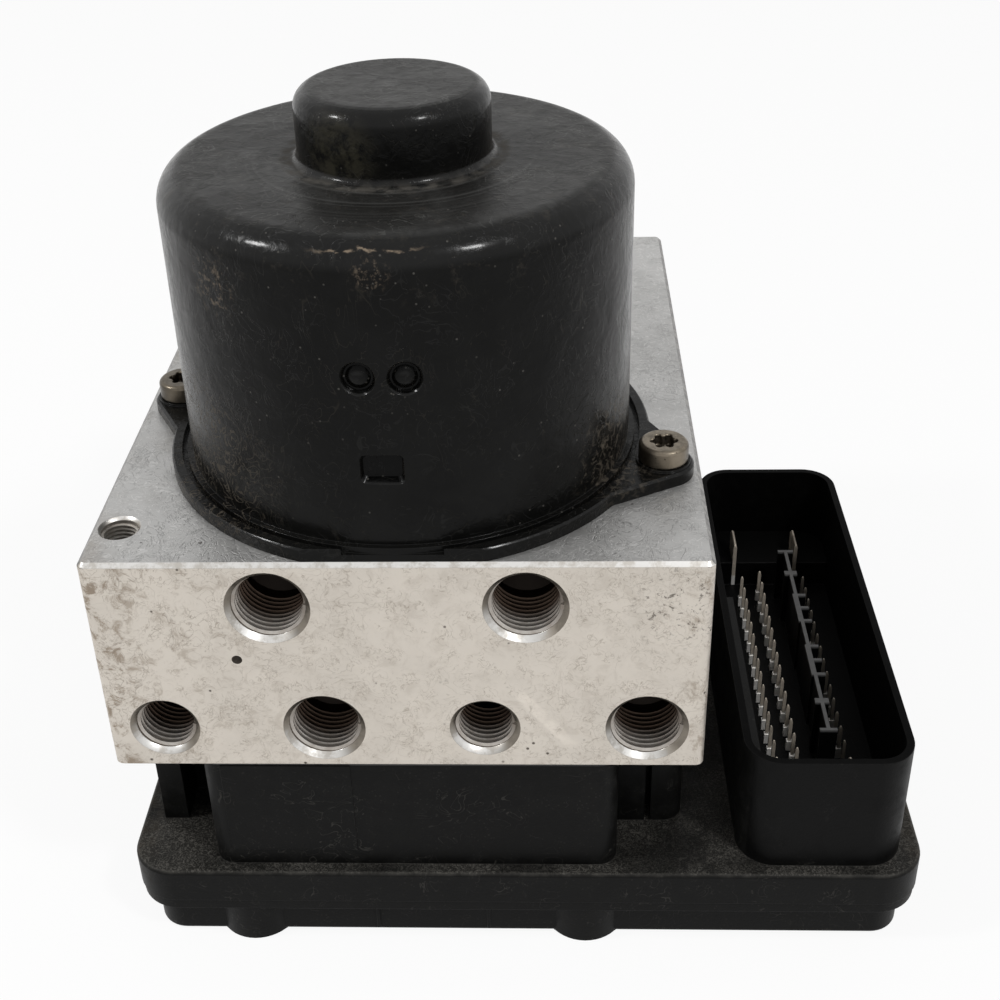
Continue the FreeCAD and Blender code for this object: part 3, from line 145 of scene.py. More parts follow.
class MotorLook(bpy.types.PropertyGroup):
    """Motor can and its screws."""
    coat_colour: FloatVectorProperty(name="Coat", description="Black coat of the can",
                                     default=(0.0042, 0.0042, 0.0040), **COLOUR)
    # Lighter grey of the can's top: partly worn, dusty coat and partly a painted reflection of the light
    # above
    top_wear_and_reflection_colour: FloatVectorProperty(name="Worn coat", description="Greyer coat on the top",
                                     default=(0.030, 0.030, 0.029), **COLOUR)
    rust_colour: FloatVectorProperty(name="Bare patches", description="Brown where the coat is rubbed off",
                                     default=(0.21, 0.165, 0.12), **COLOUR)
    screw_colour: FloatVectorProperty(name="Screws", description="Brownish grey screw steel",
                                      default=(0.200, 0.170, 0.130), **COLOUR)
    edge_width: FloatProperty(name="Broken edge", description="Width of the broken edges",
                              default=0.00020, unit="LENGTH")


class UnitLook(bpy.types.PropertyGroup):
    """Control unit and plug socket."""
    plastic_colour: FloatVectorProperty(name="Moulding", description="Black glass filled plastic",
                                        default=(0.0040, 0.0040, 0.0038), **COLOUR)
    dust_colour: FloatVectorProperty(name="Dust", description="Grey dust on the level faces",
                                     default=(0.10, 0.095, 0.085), **COLOUR)
    # Painted highlight on the coding wall's top and the plate's upward edges
    plate_highlight_colour: FloatVectorProperty(name="Coding wall", description="Greyer top of the coding wall",
                                    default=(0.10, 0.10, 0.10), **COLOUR)
    edge_width: FloatProperty(name="Moulded edge", description="Rounding of the moulded edges",
                              default=0.00025, unit="LENGTH")


class ContactLook(bpy.types.PropertyGroup):
    """Pins and blades."""
    metal_colour: FloatVectorProperty(name="Contacts", description="Dull plated contact metal",
                                      default=(0.62, 0.55, 0.46), **COLOUR)
    # Painted highlight at the pins' roots
    root_highlight_colour: FloatVectorProperty(name="Roots", description="Brighter metal at the pins' roots",
                                       default=(0.92, 0.90, 0.86), **COLOUR)
    edge_width: FloatProperty(name="Stamped edge", description="Rounding of the stamped edges",
                              default=0.00007, unit="LENGTH")


class StageLook(bpy.types.PropertyGroup):
    """Camera, floor and light."""
    camera_place: FloatVectorProperty(name="Camera", description="Where the camera stands", unit="LENGTH",
                                      default=(0.02429, -0.2261, 0.2147))
    camera_pitch: FloatProperty(name="Pitch", description="How far the camera looks down",
                                default=math.radians(31.494), unit="ROTATION")
    camera_yaw: FloatProperty(name="Yaw", description="How far the camera turns right",
                              default=math.radians(-2.701), unit="ROTATION")
    camera_roll: FloatProperty(name="Roll", description="How far the camera leans",
                               default=math.radians(-1.708), unit="ROTATION")
    lens: FloatProperty(name="Lens", description="Focal length on a 36 mm sensor", default=53.03,
                        unit="CAMERA")
    shift: FloatVectorProperty(name="Shift", description="Lens shift right and up", size=2,
                               default=(0.010, -0.030))
    sky_light: FloatProperty(name="Sky", description="Light of the even surroundings", default=0.45, min=0)
    left_power: FloatProperty(name="Left light", description="Power of the light on the left",
                              default=4.6, min=0, unit="POWER")
    right_power: FloatProperty(name="Right light", description="Power of the light on the right",
                               default=4.6, min=0, unit="POWER")
    lamp_size: FloatProperty(name="Lamp size", description="Width of each lamp", default=0.14,
                             unit="LENGTH")
    lamp_distance: FloatProperty(name="Lamp distance", description="From the motor's top to each lamp",
                                 default=1.1, unit="LENGTH")
    floor_radius: FloatProperty(name="Floor", description="Radius of the floor", default=4.0, unit="LENGTH")


class ModuleLook(bpy.types.PropertyGroup):
    """All settings of the module's looks."""
    block: PointerProperty(type=BlockLook)
    motor: PointerProperty(type=MotorLook)
    unit: PointerProperty(type=UnitLook)
    contacts: PointerProperty(type=ContactLook)
    stage: PointerProperty(type=StageLook)


# Shader maths

class Field:
    """A socket that varies over a surface; sums with it become Math nodes."""

    def __init__(self, shading, socket):
        self.shading = shading
        self.socket = socket

    def __add__(self, other):
        return self.shading.maths("ADD", self, other)

    def __sub__(self, other):
        return self.shading.maths("SUBTRACT", self, other)

    def __rsub__(self, other):
        return self.shading.maths("SUBTRACT", other, self)

    def __mul__(self, other):
        return self.shading.maths("MULTIPLY", self, other)

    __radd__ = __add__
    __rmul__ = __mul__

    def __abs__(self):
        return self.shading.maths("ABSOLUTE", self)

    def __or__(self, other):
        """The larger of two masks."""
        return self.shading.maths("MAXIMUM", self, other)

    def between(self, low, high):
        """0 below low, 1 above high and a smooth ramp between them."""
        return self.shading.add("MapRange", {"interpolation_type": "SMOOTHSTEP", "clamp": True},
                                {"Value": self, "From Min": low, "From Max": high})


class Shading:
    """Adds nodes to one node tree."""

    def __init__(self, tree):
        self.tree = tree
        self.tree.nodes.clear()

    def add(self, kind, settings=None, values=None, output=0):
        node = self.tree.nodes.new("ShaderNode" + kind)
        for key, setting in (settings or {}).items():
            setattr(node, key, setting)
        for key, value in (values or {}).items():
            if isinstance(value, Field):
                self.tree.links.new(value.socket, node.inputs[key])
            else:
                node.inputs[key].default_value = value
        return Field(self, node.outputs[output]) if node.outputs else None

    def maths(self, operation, *terms):
        return self.add("Math", {"operation": operation}, dict(enumerate(terms)))

    def seen_directly(self):
        """1 for rays from the camera, off gloss and through glass."""
        seen = [self.add("LightPath", None, None, name)
                for name in ("Is Camera Ray", "Is Glossy Ray", "Is Transmission Ray")]
        return seen[0] | seen[1] | seen[2]


class Finish(Shading):
    """One material whose patterns are measured in millimetres on the object."""

    def __init__(self, name):
        self.material = bpy.data.materials.new(name)
        self.material.use_nodes = True
        super().__init__(self.material.node_tree)
        own = self.add("TexCoord", None, None, "Object")
        self.place = self.add("VectorMath", {"operation": "SCALE"}, {0: own, "Scale": MM})

    def axis(self, name):
        """Distance along X, Y or Z from the part's origin, in millimetres."""
        return self.add("SeparateXYZ", None, {0: self.place}, name)

    def facing(self, name):
        """How far the surface faces along X, Y or Z, from -1 to 1."""
        normal = self.add("NewGeometry", None, None, "Normal")
        return self.add("SeparateXYZ", None, {0: normal}, name)

    def moved(self, scale=(1, 1, 1), offset=(0, 0, 0)):
        """The place, stretched by scale and shifted by offset."""
        stretched = self.add("VectorMath", {"operation": "MULTIPLY"}, {0: self.place, 1: scale})
        return self.add("VectorMath", {"operation": "ADD"}, {0: stretched, 1: offset})

    def noise(self, scale, detail=3.0, roughness=0.5, distortion=0.0, place=None):
        return self.add("TexNoise", None, {"Vector": place or self.place, "Scale": scale,
                                           "Detail": detail, "Roughness": roughness,
                                           "Distortion": distortion})

    def film(self, scale, low=0.35, high=0.7):
        """Soft patches, as an old film leaves."""
        return self.noise(scale, 4.0, 0.6).between(low, high)

    def hairlines(self, scale, width, distortion=1.0, place=None):
        """Thin winding lines, as fine scratches leave."""
        ridge = abs(self.noise(scale, 2.0, 0.5, distortion, place) - 0.5)
        return 1 - ridge.between(0.0, width)

    def specks(self, scale, radius):
        """Small round specks scattered over the surface."""
        near = self.add("TexVoronoi", {"feature": "F1"}, {"Vector": self.place, "Scale": scale})
        return 1 - near.between(radius * 0.5, radius)

    def spot(self, x, y, z, reach):
        """1 at a place on the object, fading out over the reach, all in millimetres."""
        gap = self.add("VectorMath", {"operation": "DISTANCE"}, {0: self.place, 1: (x, y, z)}, "Value")
        return 1 - gap.between(reach * 0.35, reach)

    def tinted(self, share, first, second):
        """First colour, turned into the second by the share."""
        return self.add("Mix", {"data_type": "RGBA"}, {0: share, 6: solid(first), 7: solid(second)}, 2)

    def layered(self, colour, *layers):
        """A colour under layers, each a share and the colour that it turns into."""
        for share, tint in layers:
            colour = self.tinted(share, colour, tint)
        return colour

    def surface(self, colour, roughness, metallic=0.0, height=None, bump=0.0, specular=0.5, extra=None):
        """Ends the material, with a height for its bumps and extra inputs by name."""
        values = {"Base Color": solid(colour), "Roughness": roughness, "Metallic": metallic,
                  "Specular IOR Level": specular}
        if height is not None:
            values["Normal"] = self.add("Bump", None, {"Height": height, "Distance": bump,
                                                       "Strength": 1.0})
        values.update(extra or {})
        shader = self.add("BsdfPrincipled", None, values)
        self.add("OutputMaterial", None, {"Surface": shader})
        return self.material


def solid(colour):
    """An even colour as a socket takes it; one that varies stays as it is."""
    return colour if isinstance(colour, Field) else (*colour[:3], 1.0)


def grey(level):
    return (level, level, level)


def shade(colour, factor):
    return tuple(channel * factor for channel in colour[:3])


# Finishes of the block

def block_front_finish(look):
    """Machined face with a brown film, winding scratches and small pits."""
    finish = Finish("machined_front")
    x, z = finish.axis("X"), finish.axis("Z")
    film = finish.noise(0.085, 5.0, 0.62).between(0.40, 0.66)
    near_left = (0 - x).between(12.0, 49.0)
    near_end = abs(x).between(42.0, 50.0) * 0.6
    cloud = finish.noise(0.34, 5.0, 0.74, 0.6).between(0.49, 0.66)
    worms = finish.hairlines(0.34, 0.022, 1.8) * finish.noise(0.11, 2.0).between(0.36, 0.56)
    short = finish.hairlines(0.75, 0.035, 1.2, finish.moved(offset=(17, 3, 40)))
    short = short * finish.noise(0.33, 3.0).between(0.46, 0.60)
    pits = finish.specks(0.30, 0.10) * finish.noise(0.16, 1.0).between(0.46, 0.58)
    corner = finish.spot(45.0, block_low.y * MM, block_high.z * MM - 8.0, 11.0)
    flecks = finish.noise(0.95, 5.0, 0.7, 0.6).between(0.56, 0.64) * corner
    rubbed = rub_mark(x, z, start=(18.1, block_low.z * MM + 17.5), along=(0.615, -0.789), length=17.0,
                      width=1.3)
    rubbed = rubbed * finish.noise(0.4, 3.0).between(0.3, 0.6)
    colour = finish.layered(
        look.front_colour,
        (film * 0.35, shade(look.front_colour, 0.80)),
        (cloud * (0.17 + near_left * 0.50 + near_end), look.stain_colour),
        (worms * (0.30 + near_left * 0.30), shade(look.stain_colour, 0.75)),
        (short * 0.50, shade(look.stain_colour, 0.85)),
        ((pits * 0.9) | (flecks * 0.75), (0.06, 0.048, 0.035)),
        (rubbed * 0.5, shade(look.front_colour, 1.25)))
    rub = finish.noise(0.5, 4.0).between(0.3, 0.8)
    height = finish.noise(2.2, 3.0) * 0.4 - worms * 0.8 - short * 0.5 - pits * 2.0
    return finish.surface(colour, 0.40 + rub * 0.16, metallic=0.70, height=height, bump=0.00003)


def rub_mark(x, z, start, along, length, width):
    """1 on a straight light mark that runs from the start along a direction."""
    fade = 3.0
    run = (x - start[0]) * along[0] + (z - start[1]) * along[1]
    off = (x - start[0]) * along[1] - (z - start[1]) * along[0]
    ends = run.between(0.0, fade) * (1 - run.between(length - fade, length))
    return ends * (1 - abs(off).between(width * 0.5, width))


def block_top_finish(look):
    """Milled face, cooler than the front, with curled scratches and dark specks."""
    finish = Finish("milled_top")
    worms = finish.hairlines(0.22, 0.030, 2.6) * finish.noise(0.09, 2.0).between(0.36, 0.58)
    curls = finish.hairlines(0.42, 0.035, 2.2, finish.moved(offset=(31, 7, 0)))
    curls = curls * finish.noise(0.20, 3.0).between(0.44, 0.62)
    light = finish.hairlines(0.25, 0.030, 2.4, finish.moved(offset=(3, 57, 0)))
    cloud = finish.noise(0.10, 5.0, 0.6).between(0.40, 0.75)
    specks = finish.specks(0.24, 0.09) * finish.noise(0.13, 1.0).between(0.46, 0.6)
    left = (0 - finish.axis("X")).between(38.0, 50.0)
    colour = finish.layered(
        look.top_colour,
        (cloud * 0.40, shade(look.top_colour, 0.76)),
        (left * cloud * 0.35, look.stain_colour),
        ((worms | curls) * 0.45, shade(look.top_colour, 0.42)),
        (light * 0.35, shade(look.top_colour, 1.6)),
        (specks * 0.8, (0.07, 0.06, 0.05)))
    height = finish.noise(1.6, 3.0) * 0.5 - worms * 0.8 - curls * 0.6 + light * 0.4 - specks
    return finish.surface(colour, 0.38 + cloud * 0.14, metallic=0.68, height=height, bump=0.00005)


def block_side_finish(look):
    """Milled sides, back and underside, browner than the top."""
    finish = Finish("milled_side")
    cloud = finish.noise(0.09, 5.0, 0.6).between(0.42, 0.75)
    worms = finish.hairlines(0.3, 0.014, 1.8) * finish.noise(0.08, 2.0).between(0.42, 0.6)
    mill = finish.noise(0.25, 2.0, 0.5, 0.0, finish.moved((0.15, 0.15, 9.0)))
    colour = finish.layered(
        look.side_colour,
        (cloud * 0.5, shade(look.side_colour, 0.78)),
        (cloud * 0.35, look.stain_colour),
        (worms * 0.35, shade(look.stain_colour, 0.9)))
    height = mill * 0.6 - worms * 0.4
    return finish.surface(colour, 0.42 + cloud * 0.14, metallic=0.72, height=height, bump=0.00002)


def chamfer_highlight_finish():
    """Cut chamfer, painted dark as shade, with a painted highlight where it faces up and to the right, and
    brown film.
    """
    finish = Finish("chamfer_painted_highlight")
    wear = finish.noise(0.35, 5.0, 0.65).between(0.42, 0.62)
    # Painted highlight on the faces turned up and to the right; the dark base stands in for shade
    lit = (finish.facing("Z") * 0.85 + finish.facing("X") * 0.40).between(0.15, 0.70)
    colour = finish.layered(
        (0.17, 0.15, 0.125),
        (lit, (0.70, 0.69, 0.67)),
        (wear * 0.60, (0.27, 0.24, 0.20)))
    return finish.surface(colour, 0.30 + wear * 0.12, metallic=0.95, height=finish.noise(3.0, 2.0),
                          bump=0.00001)


def chamfer_shade_finish():
    """Darker top edges of the block's sides and back: painted shade, a dark reflection, with lighter wear.
    """
    finish = Finish("chamfer_painted_shade")
    wear = finish.noise(0.8, 3.0).between(0.40, 0.70)
    # Painted shade: the dark colour stands in for a dark reflection on the chamfer
    colour = finish.tinted(wear * 0.6, (0.17, 0.165, 0.16), (0.42, 0.41, 0.39))
    return finish.surface(colour, 0.38, metallic=0.8)


def port_wall_finish():
    """Wall of a port between the ridges: brown, and painted black as shade further in."""
    finish = Finish("port_wall")
    # Painted shade: darker the deeper into the port
    depth = (finish.axis("Y") - block_low.y * MM).between(0.8, 4.5)
    old = finish.film(0.5)
    colour = finish.layered(
        (0.16, 0.135, 0.11),
        (old * 0.5, (0.08, 0.06, 0.045)),
        (depth, (0.024, 0.016, 0.011)))
    return finish.surface(colour, 0.5, metallic=0.3, height=finish.noise(2.5, 3.0), bump=0.00002,
                          specular=0.2)


def port_ridge_finish():
    """Crests of a port's thread: a painted highlight where they face up and to the right, bright near the
    mouth, brown, and painted shade where they face away and further in.
    """
    finish = Finish("port_ridge")
    depth = finish.axis("Y") - block_low.y * MM
    old = finish.film(0.6)
    # Painted highlight and painted shade by which way the crest faces
    lit = (finish.facing("Z") * 0.8 + finish.facing("X") * 0.3).between(-0.45, 0.55)
    colour = finish.layered(
        (0.075, 0.055, 0.040),
        (lit, (0.56, 0.53, 0.49)),
        (old * 0.45, (0.22, 0.18, 0.145)),
        # Painted shade deeper in the port
        (depth.between(1.4, 7.0), (0.060, 0.040, 0.028)))
    return finish.surface(colour, 0.30 + old * 0.12, metallic=0.80, height=finish.noise(2.5, 3.0),
                          bump=0.00002)


def pit_finish():
    """Dark colour in a small dent of the front face."""
    finish = Finish("dark_pit")
    return finish.surface((0.035, 0.028, 0.022), 0.6, specular=0.2)


def hole_wall_finish():
    """Wall of a bracket hole and its thread."""
    finish = Finish("hole_wall")
    old = finish.film(0.6)
    colour = finish.tinted(old * 0.5, (0.42, 0.40, 0.37), (0.16, 0.13, 0.10))
    return finish.surface(colour, 0.38, metallic=0.8, height=finish.noise(2.5, 3.0), bump=0.00002)


# Finishes of the motor

def can_finish(look):
    """Black coat: mottled grey on top, partly worn dusty coat and partly a painted reflection of the light
    above; painted shade in the dimples and window; dust at the boss, rubbed brown on the front shoulder,
    scratched.
    """
    finish = Finish("black_coat")
    x, y, z = finish.axis("X"), finish.axis("Y"), finish.axis("Z")
    foot, shoulder = can_low.z * MM, (can_high.z - BOSS_HEIGHT) * MM
    wall = can_wall_radius() * MM
    above = z - shoulder
    out = finish.maths("SQRT", x * x + y * y)
    up = finish.facing("Z")
    level = up.between(0.90, 0.995)
    deck = level * above.between(-1.5, -0.5)
    blots = finish.noise(0.10, 5.0, 0.62, 0.5).between(0.36, 0.66)
    fine_blots = finish.noise(0.40, 5.0, 0.65, 0.8).between(0.42, 0.72)
    dark_patches = finish.noise(0.065, 4.0, 0.6, 0.6).between(0.47, 0.60) * deck
    streaks = finish.hairlines(0.16, 0.020, 2.4) * finish.noise(0.08, 2.0).between(0.42, 0.58)
    scratches = finish.hairlines(0.13, 0.008, 1.6, finish.moved((1.5, 1.5, 0.8), (9, 4, 2)))
    scratches = scratches * finish.noise(0.14, 2.0).between(0.45, 0.58)
    grit = finish.specks(0.55, 0.12) * finish.noise(0.18, 2.0).between(0.44, 0.60)
    boss_foot = (1 - abs(out - 17.2).between(0.1, 1.9)) * above.between(-0.6, -0.1)
    boss_foot = boss_foot * (1 - above.between(0.9, 2.6)) * finish.noise(0.5, 5.0).between(0.34, 0.62)
    boss_wall = (1 - out.between(16.2, 17.0)) * above.between(0.5, 1.5) * (1 - level)
    boss_dust = boss_wall * finish.spot(-7.5, -13.6, shoulder + 4.5, 8.0)
    boss_dust = boss_dust * finish.noise(0.5, 5.0, 0.7).between(0.36, 0.62)
    waver = finish.noise(0.22, 4.0, 0.6) * 2.4 - 1.2
    worn_line = 1 - abs(above + 1.5 + waver).between(0.05, 0.26)
    worn_line = worn_line * finish.spot(-1.0, -36.8, shoulder - 1.6, 9.5)
    breaks = finish.noise(0.9, 4.0, 0.6, 0.0, finish.moved((0.5, 1, 1)))
    worn_line = worn_line * breaks.between(0.44, 0.60)
    brown = finish.noise(1.1, 5.0, 0.7).between(0.50, 0.66)
    brown = brown * finish.spot(-0.5, -38.0, shoulder - 4.4, 3.4)
    scuff = finish.noise(0.9, 5.0, 0.7).between(0.50, 0.66)
    scuff = scuff * finish.spot(-25.5, -29.0, shoulder - 10.0, 6.0)
    # Painted shade inside the dimples and the window
    sunk = (1 - out.between(wall - 0.5, wall - 0.2)) * (z - foot).between(5.0, 6.0)
    sunk = sunk * (1 - above.between(-9.0, -8.0))
    rings = finish.noise(1.0, 3.0, 0.6, 0.0, finish.add("CombineXYZ", None, {"X": out}))
    rings = rings.between(0.48, 0.66) * deck * (1 - out.between(22.0, 33.0)) * (1 - y.between(-14.0, 4.0))
    left_dust = finish.spot(-31.0, -22.0, foot + 8.0, 22.0) * finish.hairlines(0.25, 0.030, 2.4)
    right_dust = finish.spot(34.0, -17.0, foot + 7.0, 12.0)
    right_dust = right_dust * finish.noise(0.6, 5.0, 0.7, 0.8).between(0.48, 0.68)
    edge_rub = finish.noise(0.3, 5.0, 0.7).between(0.56, 0.72)
    edge_rub = edge_rub * (1 - abs(above + 4.0).between(1.0, 7.0))
    colour = finish.layered(
        look.coat_colour,
        (blots * 0.5, shade(look.coat_colour, 1.9)),
        # The top's grey: partly worn, dusty coat and partly a painted reflection
        (deck * (0.22 + blots * 0.78), look.top_wear_and_reflection_colour),
        (deck * fine_blots * 0.65, shade(look.top_wear_and_reflection_colour, 0.30)),
        (dark_patches * 0.65, shade(look.top_wear_and_reflection_colour, 0.22)),
        (rings * 0.40, shade(look.top_wear_and_reflection_colour, 2.4)),
        (sunk * 0.9, grey(0.0010)),
        (streaks * (0.06 + deck * 0.35), (0.10, 0.10, 0.095)),
        (scratches * 0.11, (0.09, 0.08, 0.06)),
        (boss_dust * 0.45, (0.060, 0.055, 0.038)),
        (boss_foot * 0.4, (0.13, 0.12, 0.105)),
        ((left_dust * 0.5) | (right_dust * 0.7), (0.13, 0.11, 0.085)),
        (edge_rub * 0.16, (0.14, 0.12, 0.095)),
        (worn_line | (scuff * 0.5) | (brown * 0.5), look.rust_colour),
        (grit * 0.32, (0.20, 0.19, 0.17)))
    height = finish.noise(0.12, 3.0, 0.5, 0.5) * 3.2 + fine_blots * 0.4 + finish.noise(1.6, 3.0) * 0.12
    height = height - scratches * 0.3 + streaks * 0.4
    rough = 0.20 + fine_blots * 0.07 + deck * 0.16 + (boss_foot | left_dust | right_dust) * 0.35
    bend = up.between(0.12, 0.40) * (1 - up.between(0.86, 0.97))
    return finish.surface(colour, rough, height=height, bump=0.00008, specular=0.085,
                          extra={"Coat Weight": bend * (1 - sunk) * 0.17, "Coat Roughness": 0.12,
                                 "Sheen Weight": 0.03, "Sheen Roughness": 0.35,
                                 "Sheen Tint": (0.80, 0.66, 0.50, 1.0)})


def can_wall_radius():
    """Radius of the motor's wall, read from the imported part."""
    level = (can_low.z + can_high.z) / 2
    points = [vertex.co for vertex in frame["nodes"]["motor_housing"].data.vertices]
    return max(math.hypot(point.x, point.y) for point in points if point.z > level)


def screw_finish(look):
    """Brownish grey steel: painted shade on the heads' side walls with a painted highlight where they face
    the front, duller on the left screw.
    """
    finish = Finish("screw_steel")
    wear = finish.noise(0.9, 5.0, 0.65).between(0.38, 0.68)
    dark = finish.specks(0.8, 0.16) * 0.7
    wall = 1 - abs(finish.facing("Z")).between(0.3, 0.8)
    front = (0 - finish.facing("Y") + finish.facing("X") * 0.25).between(0.55, 0.98)
    left = (0 - finish.axis("X")).between(0.0, 1.0)
    colour = finish.layered(
        look.screw_colour,
        (wear, shade(look.screw_colour, 0.66)),
        # Painted shade on the side walls, and a painted highlight where they face the front
        (wall * 0.65, shade(look.screw_colour, 0.28)),
        (wall * front * 0.75, shade(look.screw_colour, 1.25)),
        (left * 0.50, shade(look.screw_colour, 0.25)),
        (dark, (0.05, 0.04, 0.03)))
    turned = finish.noise(0.3, 2.0, 0.5, 0.0, finish.moved((0.4, 0.4, 14.0)))
    return finish.surface(colour, 0.30 + wear * 0.16, metallic=0.88, height=turned + wear * 0.5,
                          bump=0.00002)


def recess_finish(look):
    """Walls and floor of a driver recess, dark, with patches of the screw's colour."""
    finish = Finish("screw_recess")
    old = finish.film(0.9, 0.4, 0.6)
    colour = finish.tinted(old, (0.035, 0.028, 0.022), shade(look.screw_colour, 0.7))
    return finish.surface(colour, 0.30, metallic=0.8)


# Finishes of the control unit

def plastic_finish(name, look, dust_share):
    """Black glass filled moulding with granular dust, thickest on its level faces, and painted shade on the
    steep faces just above the plate at the socket's left edge.
    """
    finish = Finish(name)
    x, up = finish.axis("X"), finish.facing("Z")
    above = finish.axis("Z") - (housing_low.z + RIM_HEIGHT) * MM
    level = up.between(0.6, 0.97) * (1 - above.between(0.4, 1.2)) * above.between(-2.4, -1.6)
    rim = up.between(0.15, 0.8) * (1 - up.between(0.9, 1.0)) * (1 - above.between(0.0, 0.6))
    # Painted shade on the steep faces just above the plate at the socket's left edge
    inside = (x - carrier_low.x * MM).between(-0.2, 0.1) * above.between(0.2, 1.5)
    inside = inside * (1 - up.between(0.3, 0.9))
    worms = finish.hairlines(0.75, 0.06, 2.4)
    grains = finish.specks(1.3, 0.30)
    patches = finish.film(0.07, 0.36, 0.62)
    film = finish.noise(0.22, 5.0, 0.68).between(0.42, 0.70)
    scratch = finish.hairlines(0.18, 0.010, 1.8) * finish.noise(0.12, 2.0).between(0.48, 0.60)
    ends = (0 - x).between(46.0, 51.0) | (x - housing_high.x * MM).between(-5.0, 0.0)
    ends = ends * (1 - above.between(8.0, 27.0)) * film
    colour = finish.layered(
        look.plastic_colour,
        (film * 0.45, shade(look.plastic_colour, 2.6)),
        (level * (0.10 + patches * 0.30) * dust_share, shade(look.dust_colour, 0.5)),
        (level * (worms | grains) * (0.2 + patches * 0.7) * dust_share, look.dust_colour),
        (rim * (0.10 + film * 0.25), look.dust_colour),
        (scratch * 0.35, shade(look.dust_colour, 0.8)),
        (grains * film * 0.12, look.dust_colour),
        (inside * 0.8, grey(0.0012)),
        (ends * 0.45, (0.050, 0.040, 0.028)))
    height = finish.noise(2.4, 3.0) * 0.5 + worms * level * 0.5
    return finish.surface(colour, 0.40 + film * 0.16, height=height, bump=0.00006,
                          specular=0.08)


def socket_finish(look):
    """Unlit plastic of the shroud's rim and inner walls."""
    finish = Finish("socket_inside")
    film = finish.film(0.35, 0.45, 0.7)
    colour = finish.tinted(film * 0.5, grey(0.0016), look.plastic_colour)
    return finish.surface(colour, 0.55, specular=0.03)


def contact_plate_finish(look):
    """Plastic in the depth of the socket, with a painted highlight on top of the coding wall and on its
    edges that face partly up.
    """
    finish = Finish("contact_plate")
    film = finish.film(0.6, 0.4, 0.7)
    up = finish.facing("Z")
    high = (finish.axis("Z") - carrier_high.z * MM).between(-0.6, -0.2)
    # Painted highlight on the edges turned partly up and on the coding wall's top
    edge = up.between(0.15, 0.45) * (1 - up.between(0.85, 0.97))
    colour = finish.layered(
        grey(0.0020),
        (edge * 0.6, look.plate_highlight_colour),
        (high, look.plate_highlight_colour),
        (high * film * 0.4, shade(look.plate_highlight_colour, 1.4)))
    return finish.surface(colour, 0.5, height=finish.noise(3.0, 2.0), bump=0.00003,
                          specular=0.06)


def contact_finish(look):
    """Plated stampings: dull bronze grey shanks on roots with a painted highlight, and painted shade on the
    far column.
    """
    finish = Finish("contact_metal")
    base = (carrier_low.z + CARRIER_THICKNESS) * MM
    middle = (carrier_low.x * 0.42 + carrier_high.x * 0.58) * MM
    # Painted highlight at the roots, and painted shade on the far column behind the coding wall
    root = 1 - (finish.axis("Z") - base).between(2.2, 2.8)
    old = finish.film(1.2)
    far = (finish.axis("X") - middle).between(-0.5, 0.5)
    blade = (finish.axis("Y") - carrier_high.y * MM).between(-9.0, -8.0)
    colour = finish.layered(
        look.metal_colour,
        (old * 0.4, shade(look.metal_colour, 0.6)),
        (root, look.root_highlight_colour),
        (far * (1 - blade) * 0.60, shade(look.metal_colour, 0.22)))
    return finish.surface(colour, 0.32 + old * 0.12, metallic=0.35)


def plain_metal_finish(name, colour, roughness, dark):
    """Turned or drawn metal with faint tool marks."""
    finish = Finish(name)
    old = finish.film(0.5)
    marks = finish.noise(0.8, 2.0, 0.5, 0.0, finish.moved((0.5, 0.5, 8.0)))
    tone = finish.tinted(old * 0.5, colour, shade(colour, dark))
    return finish.surface(tone, roughness + old * 0.1, metallic=0.9, height=marks, bump=0.00001)


def plain_matt_finish(name, colour, roughness):
    """Moulded, sintered or lacquered surface with a fine grain."""
    finish = Finish(name)
    film = finish.film(0.4)
    tone = finish.tinted(film * 0.5, colour, shade(colour, 1.6))
    return finish.surface(tone, roughness + film * 0.08, height=finish.noise(3.0, 3.0),
                          bump=0.00003)


# Plain finishes: colour, roughness and for a metal the shade of its darker patches

METALS = {
    "machined_aluminium": ((0.50, 0.48, 0.45), 0.42, 0.8),
    "screw_steel": ((0.24, 0.21, 0.18), 0.4, 0.6),
    "ground_steel": (grey(0.50), 0.25, 0.7), "core_steel": ((0.22, 0.23, 0.25), 0.45, 0.6),
    "copper_wire": ((0.60, 0.26, 0.12), 0.30, 0.7), "copper_bars": ((0.66, 0.32, 0.18), 0.28, 0.6),
    "bush_bronze": ((0.50, 0.36, 0.16), 0.40, 0.7), "contact_metal": ((0.62, 0.58, 0.50), 0.30, 0.7),
    "plated_steel": ((0.46, 0.45, 0.42), 0.34, 0.6), "spring_steel": ((0.42, 0.42, 0.43), 0.30, 0.7),
    "piston_aluminium": (grey(0.60), 0.35, 0.8),
}
MATTS = {
    "black_can": (grey(0.010), 0.4), "seal_rubber": (grey(0.012), 0.6),
    "ferrite": ((0.05, 0.05, 0.055), 0.6), "brown_moulding": ((0.10, 0.06, 0.03), 0.5),
    "coil_steel": (grey(0.03), 0.45), "black_housing": (grey(0.010), 0.5),
    "black_cover": (grey(0.010), 0.5), "socket_moulding": (grey(0.03), 0.5),
    "board_green": ((0.02, 0.09, 0.035), 0.4), "carbon": (grey(0.04), 0.55),
}


# Modelling helpers

def pick(*pieces):
    """Selects only these objects."""
    bpy.ops.object.select_all(action="DESELECT")
    for piece in pieces:
        piece.select_set(True)
    bpy.context.view_layer.objects.active = pieces[0]


